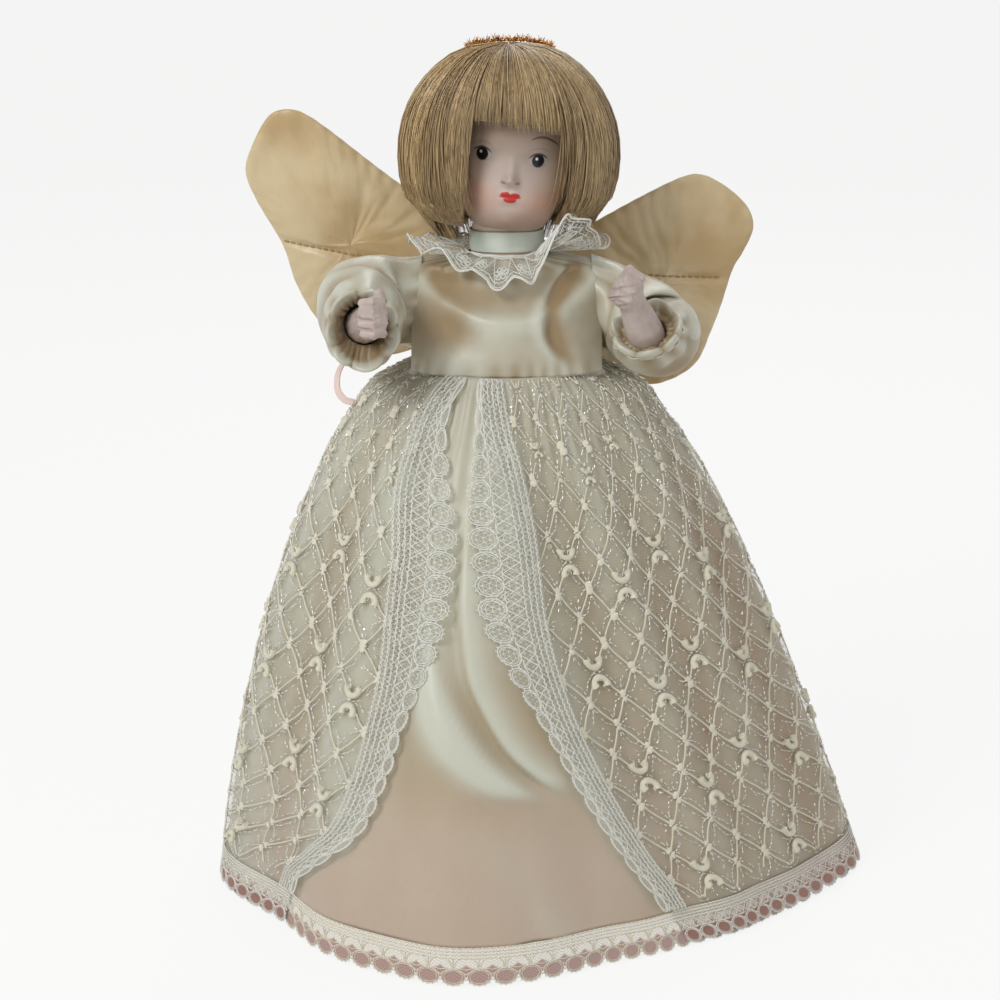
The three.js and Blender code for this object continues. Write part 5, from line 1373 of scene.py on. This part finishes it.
hem_net_cloth = finish("hem_net", {"Sheen Weight": 0.2, "Specular IOR Level": 0.3}, net_with_painted_shade)
cream_cord = cotton_lace("cream_cord", dye(244, 242, 226), dye(226, 220, 198))
hem_net, hem_cords = lace_strip("underskirt_lace", underskirt_lace_place, 76, hem_lace_depth, cream_cord,
                                hem_net_cloth, stalk=True)
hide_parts("underskirt_lace")

# Overskirt: sheer net, embroidered with a lattice of cream cord, small bows and silver thread, and
# strewn with glitter. It is gathered into the waist seam and open in front.


def overskirt_place(across, fall, lift=0.0):
    """across goes from the left front edge, round the back, to the right one."""
    angle = np.radians(left_edge(fall) + (right_edge(fall) + 360 - left_edge(fall)) * across)
    return skirt_point(angle, fall, overskirt_lift + 0.3 + lift)


overskirt_fall = fall_of(overskirt_rise + hem_lace_depth - 0.4)
tulle_wide, tulle_long = 620.0, 205.0
tulle_net = net("tulle_net", dye(222, 220, 206), 0.0011, 0.035, 0.035)
across, fall = np.meshgrid(np.linspace(0, 1, 420), np.linspace(seam_fall, overskirt_fall, 140))
flat = np.stack([across * tulle_wide * MM, fall * tulle_long * MM], -1)
tulle = surface("overskirt_tulle", overskirt_place(across, fall), tulle_net, flat, turned=True)
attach(tulle, "doll")
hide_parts("overskirt")


def on_tulle(x, y, lift=0.35):
    """A point of the embroidery, from its place on the flat net in millimetres."""
    return overskirt_place(np.clip(x / tulle_wide, 0.001, 0.999), y / tulle_long, lift)


def eased(x, y):
    """How many millimetres of flat net lie in one across the skirt, where its gathers take it in."""
    near = on_tulle(x + 1, y) - on_tulle(x - 1, y)
    return np.clip(2 / np.linalg.norm(near, axis=-1), 0.6, 2.2)


def stitched(x, y, across, down, lift):
    """A line of the embroidery round a place on the net, from millimetres across and down the skirt."""
    return on_tulle(x + np.asarray(across) * eased(x, y), y + np.asarray(down), lift)


# The lattice's corners stand in staggered rows; at some of them a bow takes the knot's place.
pick = np.random.default_rng(21)
lattice_columns = 56
half_wide, half_tall = tulle_wide / lattice_columns, 9.7
bottom = tulle_long * overskirt_fall - 1


def is_bow(i, j):
    return i % 3 == 0 and (j - i // 3 % 2 * 2 - i % 2) % 4 == 0


def on_net(x, y):
    """True where all of a stitch lies on the flat net, a millimetre inside its edges."""
    return 1 < y.min() and y.max() < bottom and 1 < x.min() and x.max() < tulle_wide - 1


lines, widths, dashes, knots, bows = [], [], [], [], []
for i in range(lattice_columns + 1):
    for j in range(int(bottom / half_tall) + 2):
        if (i + j) % 2:
            continue
        x, y = i * half_wide, j * half_tall - 5
        if 9 < y < bottom - 3 and 1 < x < tulle_wide - 1:
            (bows if is_bow(i, j) else knots).append((x, y))
        for side in (-1, 1):
            x_end = x + side * half_wide
            start, stop = (0.42 if is_bow(i, j) else 0.12), (0.58 if is_bow(i + side, j + 1) else 0.88)
            if not 0 <= x_end <= tulle_wide or y + start * half_tall > bottom - 1:
                continue
            a = np.linspace(start, stop, 7)
            bow_out = 0.5 * np.sin(np.pi * (a - start) / (stop - start)) * (-1) ** ((i + j) // 2)
            bend = bow_out + pick.normal(0, 0.15)
            cord_x, cord_y = x + side * half_wide * a + bend, y + half_tall * a
            within = (cord_y > 1) & (cord_y < bottom)
            if within.sum() < 3:
                continue
            lines.append(on_tulle(cord_x[within], cord_y[within]))
            widths.append(np.interp(a, [start, start + 0.1, stop - 0.1, stop], [1.5, 1, 1, 1.5])[within]
                          * (0.62 + 0.38 * soft_step(y, 10, 90)))
            # Silver thread runs in short stitches on both sides of the cord, swelling out like a leaf.
            for flank in (-1, 1):
                for k in range(7):
                    if pick.random() < 0.25:
                        continue
                    b = np.array([k + 0.1, k + 0.75]) / 7
                    out = flank * (0.7 + 2.3 * np.sin(np.pi * b)) * pick.uniform(0.85, 1.15)
                    dash_x = x + side * half_wide * b + out * 0.74
                    dash_y = y + half_tall * b - side * out * 0.68
                    if on_net(dash_x, dash_y):
                        dashes.append(on_tulle(dash_x, dash_y, 0.45))


def silver_thread(place, flat):
    flecks = place.noise(1900, 2.0)
    return {"Base Color": flecks.ramp(0.45, 0.7).between(dye(252, 252, 250), dye(150, 148, 138)),
            "Roughness": flecks.ramp(0.3, 0.7, 0.25, 0.5), "Normal": flecks.bump(0.0001)}


silver = finish("silver_thread", {"Metallic": 0.6}, silver_thread)
silver_dashes = spun("overskirt_silver_thread", dashes, 0.25, silver, 3)
cord_embroidery = spun("overskirt_lattice", lines, 0.34, cream_cord, 4, widths)
# A bow is two thick arcs back to back, above and below its corner, smaller near the waist.
arcs, arc_widths = [], []
turn = np.linspace(-0.4, np.pi + 0.4, 12)
half_swell = [1.25, 1.2, 0.95, 0.9, 0.95, 1.05]
for x, y in bows:
    grown_to = 0.45 + 0.55 * soft_step(y, 15, 80)
    for side in (-1, 1):
        down = -side * grown_to * (4.1 - 2.3 * np.sin(turn))
        arcs.append(stitched(x, y, 2.5 * grown_to * np.cos(turn), down, 0.6))
        arc_widths.append(grown_to * np.array(half_swell + half_swell[::-1]))
bow_cords = spun("overskirt_bows", arcs, 1.12, cream_cord, 6, arc_widths)


def bead_tree(name, shape, facets):
    """Puts a small shape on every point, turned to the attribute named aim, at its own size and spin."""
    tree, given, made = started_tree(name, Places="Geometry", Size="Vector", Finish="Material")
    bead, points, aim, spread, real, coat = (tree.nodes.new("GeometryNode" + kind) for kind in (
        shape, "MeshToPoints", "InputNamedAttribute", "InstanceOnPoints", "RealizeInstances", "SetMaterial"))
    face, spin, spun_round, size = (tree.nodes.new("FunctionNode" + kind) for kind in (
        "AlignRotationToVector", "RandomValue", "RotateRotation", "RandomValue"))
    about, scale = tree.nodes.new("ShaderNodeCombineXYZ"), tree.nodes.new("ShaderNodeVectorMath")
    for key, value in facets.items():
        bead.inputs[key].default_value = value
    aim.data_type, face.axis, scale.operation = "FLOAT_VECTOR", "Z", "SCALE"
    aim.inputs["Name"].default_value = "aim"
    spun_round.rotation_space = "LOCAL"
    for chance, low, high, seed in ((spin, 0.0, 6.283, 3), (size, 0.7, 1.25, 5)):
        chance.data_type = "FLOAT"
        chance.inputs[2].default_value, chance.inputs[3].default_value = low, high
        chance.inputs["Seed"].default_value = seed
    tie(tree, ((given, "Places"), (points, "Mesh")), ((points, "Points"), (spread, "Points")),
        ((bead, "Mesh"), (spread, "Instance")), ((aim, "Attribute"), (face, "Vector")),
        ((spin, 1), (about, "Z")), ((face, "Rotation"), (spun_round, "Rotation")),
        ((about, "Vector"), (spun_round, "Rotate By")), ((spun_round, "Rotation"), (spread, "Rotation")),
        ((given, "Size"), (scale, 0)), ((size, 1), (scale, "Scale")), ((scale, "Vector"), (spread, "Scale")),
        ((spread, "Instances"), (real, "Geometry")), ((real, "Geometry"), (coat, "Geometry")),
        ((given, "Finish"), (coat, "Material")), ((coat, "Geometry"), (made, "Made")))
    return tree


def strewn(name, places, aims, size, tree, material):
    """Beads of one size in millimetres, one for each place and each facing its own way."""
    mesh = bpy.data.meshes.new(name)
    mesh.from_pydata((np.asarray(places) * MM).tolist(), [], [])
    held = mesh.attributes.new("aim", "FLOAT_VECTOR", "POINT").data
    held.foreach_set("vector", np.asarray(aims, np.float32).ravel())
    return grown(name, mesh, tree, Size=tuple(s * MM for s in size), Finish=material)


def facing_out(x, y):
    """Which way the net faces at a place on the flat cut."""
    here, along, down = on_tulle(x, y), on_tulle(x + 0.5, y), on_tulle(x, y + 0.5)
    out = np.cross(along - here, down - here)
    out /= np.linalg.norm(out, axis=-1)[..., None]
    return out * np.sign((out * (here - (-13, -2, 0))).sum(-1))[..., None]


round_bead = bead_tree("round_beads", "MeshIcoSphere", {"Radius": 1.0, "Subdivisions": 2})
flat_bead = bead_tree("flat_beads", "MeshCube", {})
# Each knot is two lumps of cord, one over the other.
knots = np.array(knots)
x, y = np.concatenate([knots + (0, -1.0), knots + (0, 1.0)]).T
knot_beads = strewn("overskirt_knots", on_tulle(x, y, 0.4), facing_out(x, y), (1.1, 1.25, 0.5), round_bead,
                    cream_cord)
# Glitter lies thickest round the knots, and thinly all over.
near_count, far_count = 3600, 2800
near_knots = knots[pick.integers(0, len(knots), near_count)] + pick.normal(0, 2.4, (near_count, 2))
scattered = np.stack([pick.uniform(2, tulle_wide - 2, far_count), pick.uniform(3, bottom - 1, far_count)], -1)
x, y = np.concatenate([near_knots, scattered]).T
kept = (y > 2) & (y < bottom) & (x > 1) & (x < tulle_wide - 1)
x, y = x[kept], y[kept]
aims = facing_out(x, y) + pick.normal(0, 0.45, (len(x), 3))
glitter = strewn("overskirt_glitter", on_tulle(x, y, 0.5), aims, (0.5, 0.3, 0.1), flat_bead, silver)
worked = [cord_embroidery, silver_dashes, knot_beads, bow_cords, glitter]
for piece in worked:
    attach(piece, "doll")

# Overskirt's hem lace: the same lace in white, its cords crossing as a net instead of stalks. It is
# sewn along the net's lower edge, from one front edge round the back to the other.


def overskirt_lace_place(across, down):
    fall = fall_of(overskirt_rise + hem_lace_depth * (1 - down))
    return overskirt_place(across, fall, 0.15)


over_net, over_cords = lace_strip("overskirt_lace", overskirt_lace_place, 61, hem_lace_depth, lace_cord,
                                  hem_net_cloth)
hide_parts("overskirt_hem_lace")

# Front edgings: the same lace down both front edges of the net, its cords sewn on the net and its
# scallops over the satin. Low down the scallops turn under.

edge_band_width, edge_reach, edge_lift = 5, 9.5, 3.35
edge_lowest = fall_of(overskirt_rise + hem_lace_depth + 0.7)


def edging_place(edge, side):
    def place(across, down):
        fall = 0.004 + (edge_lowest - 0.004) * across
        radius = 25 + 50.5 * fall + 0 * down
        reach = edge_reach * (1 - 0.6 * soft_step(fall, 0.35, 0.6))
        reach = reach * (0.2 + 0.8 * soft_step(fall, 0.02, 0.25))
        inward = np.where(down < 0.34, -edge_band_width * (1 - down / 0.34), reach * (down - 0.34) / 0.66)
        wave = 0.45 * np.sin(60 * fall + 4) * down
        return skirt_point(np.radians(edge(fall)) + side * inward / radius, fall, edge_lift + wave)
    return place


for name, edge, side, node in (("right_front_lace", right_edge, 1, "right_edge_lace"),
                               ("left_front_lace", left_edge, -1, "left_edge_lace")):
    strip, cords = lace_strip(name, edging_place(edge, side), 24, 14.5, lace_cord, lace_net)
    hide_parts(node)

# Wings: two layers of warm ivory satin, bagged out over thin wadding and closed, each with one line of
# stitches across it. Both are sewn by their inner ends to a padded tab behind the bodice.

wing_span, wing_puff, wing_edge, wing_sweep = 96, 4.6, 0.9, 5
wing_columns, edge_puckers, most_swell, puff_frames = 180, 44, 1.6, 20
stitch_length, stitch_pitch = 0.017, 0.0245
wing_outlines = {
    "right": [(0.03, 0.02), (0.16, 0.08), (0.31, 0.18), (0.51, 0.29), (0.72, 0.41), (0.82, 0.455),
              (0.885, 0.455), (0.94, 0.42), (0.985, 0.31), (1, 0.2), (0.94, 0.09), (0.83, -0.055),
              (0.76, -0.2), (0.65, -0.335), (0.5, -0.42), (0.345, -0.4), (0.2, -0.3), (0.1, -0.2),
              (0.03, -0.13)],
    "left": [(0.03, 0.02), (0.14, 0.1), (0.28, 0.195), (0.44, 0.315), (0.58, 0.41), (0.66, 0.435),
             (0.76, 0.4), (0.85, 0.335), (0.885, 0.26), (0.865, 0.17), (0.835, 0.09), (0.815, -0.05),
             (0.795, -0.15), (0.755, -0.29), (0.64, -0.38), (0.5, -0.4), (0.345, -0.38), (0.2, -0.3),
             (0.1, -0.2), (0.03, -0.13)]}
wing_turn = np.array(Matrix.Rotation(math.radians(8), 3, "Y") @ Matrix.Rotation(math.radians(5), 3, "X"))
wing_middle = np.array([-13.3, 29.2, 217.5])
wing_satin = woven_satin("wing_satin", dye(217, 198, 160), dye(190, 160, 112), 0.0006, 0.0004, 0.2)
wing_thread = cotton_lace("wing_thread", dye(198, 168, 122), dye(150, 118, 76))
wing_stitches = {"right": (-0.045, -0.035, 0.44, 0.815), "left": (0.035, 0.058, 0.5, 0.79)}
wing_crown = through([(0, 0), (0.3, 0.62), (0.62, 0.93), (1, 1)])
wing_side = {"right": -1, "left": 1}


def on_wing(name, out, up, face):
    """A point of a wing from its shares of the span; face is -1 at its front and 1 at its back."""
    x, z = wing_side[name] * np.asarray(out) * wing_span, np.asarray(up) * wing_span
    sweep = wing_sweep * (np.abs(x) / wing_span) ** 1.5
    return np.stack([x, sweep + face, z], -1) @ wing_turn.T + wing_middle


for name, outline in wing_outlines.items():
    side = wing_side[name]
    near_up, far_up, near_out, far_out = wing_stitches[name]
    line_at = lambda out: near_up + (far_up - near_up) * (out - near_out) / (far_out - near_out)
    edge = smooth_path(np.array([(out, 0, up) for out, up in outline]), wing_columns + 1, closed=True)[:-1]
    centre = np.array([0.58, 0, 0])
    shares = [0.985, 0.93, 0.86, 0.78, 0.7, 0.62, 0.54, 0.46, 0.38, 0.3, 0.23, 0.16, 0.1, 0.055, 0.02, 0.0]
    layers = []
    for face in (-1, 1):
        stack = []
        for inward in shares:
            flatly = edge + (centre - edge) * inward
            crown = wing_crown(inward) * soft_step(np.abs(flatly[:, 0]) * wing_span, 6.5, 0.35 * wing_span)
            along = np.arange(wing_columns) * 2 * np.pi * edge_puckers / wing_columns
            pucker = 0.28 * np.sin(along) * np.exp(-inward / 0.08)
            thick = wing_edge * (0.35 + 0.65 * soft_step(inward, 0, 0.03))
            thick = thick + (wing_puff - wing_edge) * crown * 0.9
            on_line = np.abs(flatly[:, 2] - line_at(flatly[:, 0]))
            thick = thick * (1 - 0.5 * np.exp(-((on_line / 0.016) ** 2)))
            stack.append(on_wing(name, flatly[:, 0], flatly[:, 2], face * thick + pucker))
        layers += stack if face < 0 else stack[::-1][1:]
    wing = surface(name + "_wing_satin", np.array(layers), wing_satin, around=True, caps=True,
                   turned=side < 0)
    work = bmesh.new()
    work.from_mesh(wing.data)
    bmesh.ops.poke(work, faces=[f for f in work.faces if len(f.verts) > 4])
    bmesh.ops.recalc_face_normals(work, faces=work.faces)
    work.to_mesh(wing.data)
    work.free()
    places, normals = vertex_arrays(wing)
    pinned = wing.vertex_groups.new(name="sewn")
    seam = on_wing(name, edge[:, 0], edge[:, 2], 0)
    gap = np.array([np.min(np.linalg.norm(seam - p, axis=1)) for p in places])
    flatly = ((places - wing_middle) @ wing_turn)[:, [0, 2]] / wing_span * (side, 1)
    off_line = np.abs(flatly[:, 1] - line_at(flatly[:, 0]))
    held = (gap < 1.2) | (off_line < 0.011) & (flatly[:, 0] > near_out)
    pinned.add([int(i) for i in np.flatnonzero(held)], 1.0, "REPLACE")
    puff = wing.modifiers.new("puff", "CLOTH")
    puff.settings.quality, puff.settings.mass = 4, 0.1
    puff.settings.use_pressure, puff.settings.uniform_pressure_force = True, 1.3
    puff.settings.tension_stiffness = puff.settings.compression_stiffness = 12
    puff.settings.bending_stiffness, puff.settings.shrink_min = 0.6, -0.008
    puff.settings.vertex_group_mass = "sewn"
    puff.settings.effector_weights.gravity = 0
    puff.collision_settings.use_collision = False
    puff.point_cache.frame_end = puff_frames
    for step in range(1, puff_frames + 1):
        bpy.context.scene.frame_set(step)
    settle(wing)
    blown, _ = vertex_arrays(wing)
    move = blown - places
    far = np.linalg.norm(move, axis=1)[:, None]
    set_places(wing, places + move * np.minimum(1, most_swell / np.maximum(far, 1e-6)))
    bpy.context.scene.frame_set(1)
    rounder = wing.modifiers.new("rounder", "SUBSURF")
    rounder.levels = rounder.render_levels = 1
    settle(wing)
    wing.vertex_groups.clear()
    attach(wing, name + "_wing")
    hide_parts(name + "_wing")
    sewing = []
    for out in np.arange(near_out, far_out, stitch_pitch):
        ends = []
        for here in (out, out + stitch_length):
            start = Vector(on_wing(name, here, line_at(here), -12) * MM)
            aim = Vector(on_wing(name, here, line_at(here), 12) * MM) - start
            hit, spot, facing_way, _ = wing.ray_cast(start, aim.normalized())
            ends.append(np.array(spot) / MM + np.array(facing_way) * 0.2 if hit else None)
        if ends[0] is not None and ends[1] is not None:
            first, last = ends
            sewing.append(np.array([first - (0, -0.25, 0), first * 0.8 + last * 0.2, first * 0.2 + last * 0.8,
                                    last - (0, -0.25, 0)]))
    seam_thread = spun(name + "_wing_stitches", sewing, 0.34, wing_thread, 5)
    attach(seam_thread, name + "_wing")

# Wing tab: a short strip of the wings' satin, padded and closed, sewn to the bodice's back. Both wings
# are stitched to it by their inner ends.

tab = soft_copy("wing_tab_satin", "wing_tab", 0.7, 6, wing_satin)
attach(tab, "doll")
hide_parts("wing_tab")

size = [[list(corner) for corner in box] for box in (cad_box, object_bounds())]
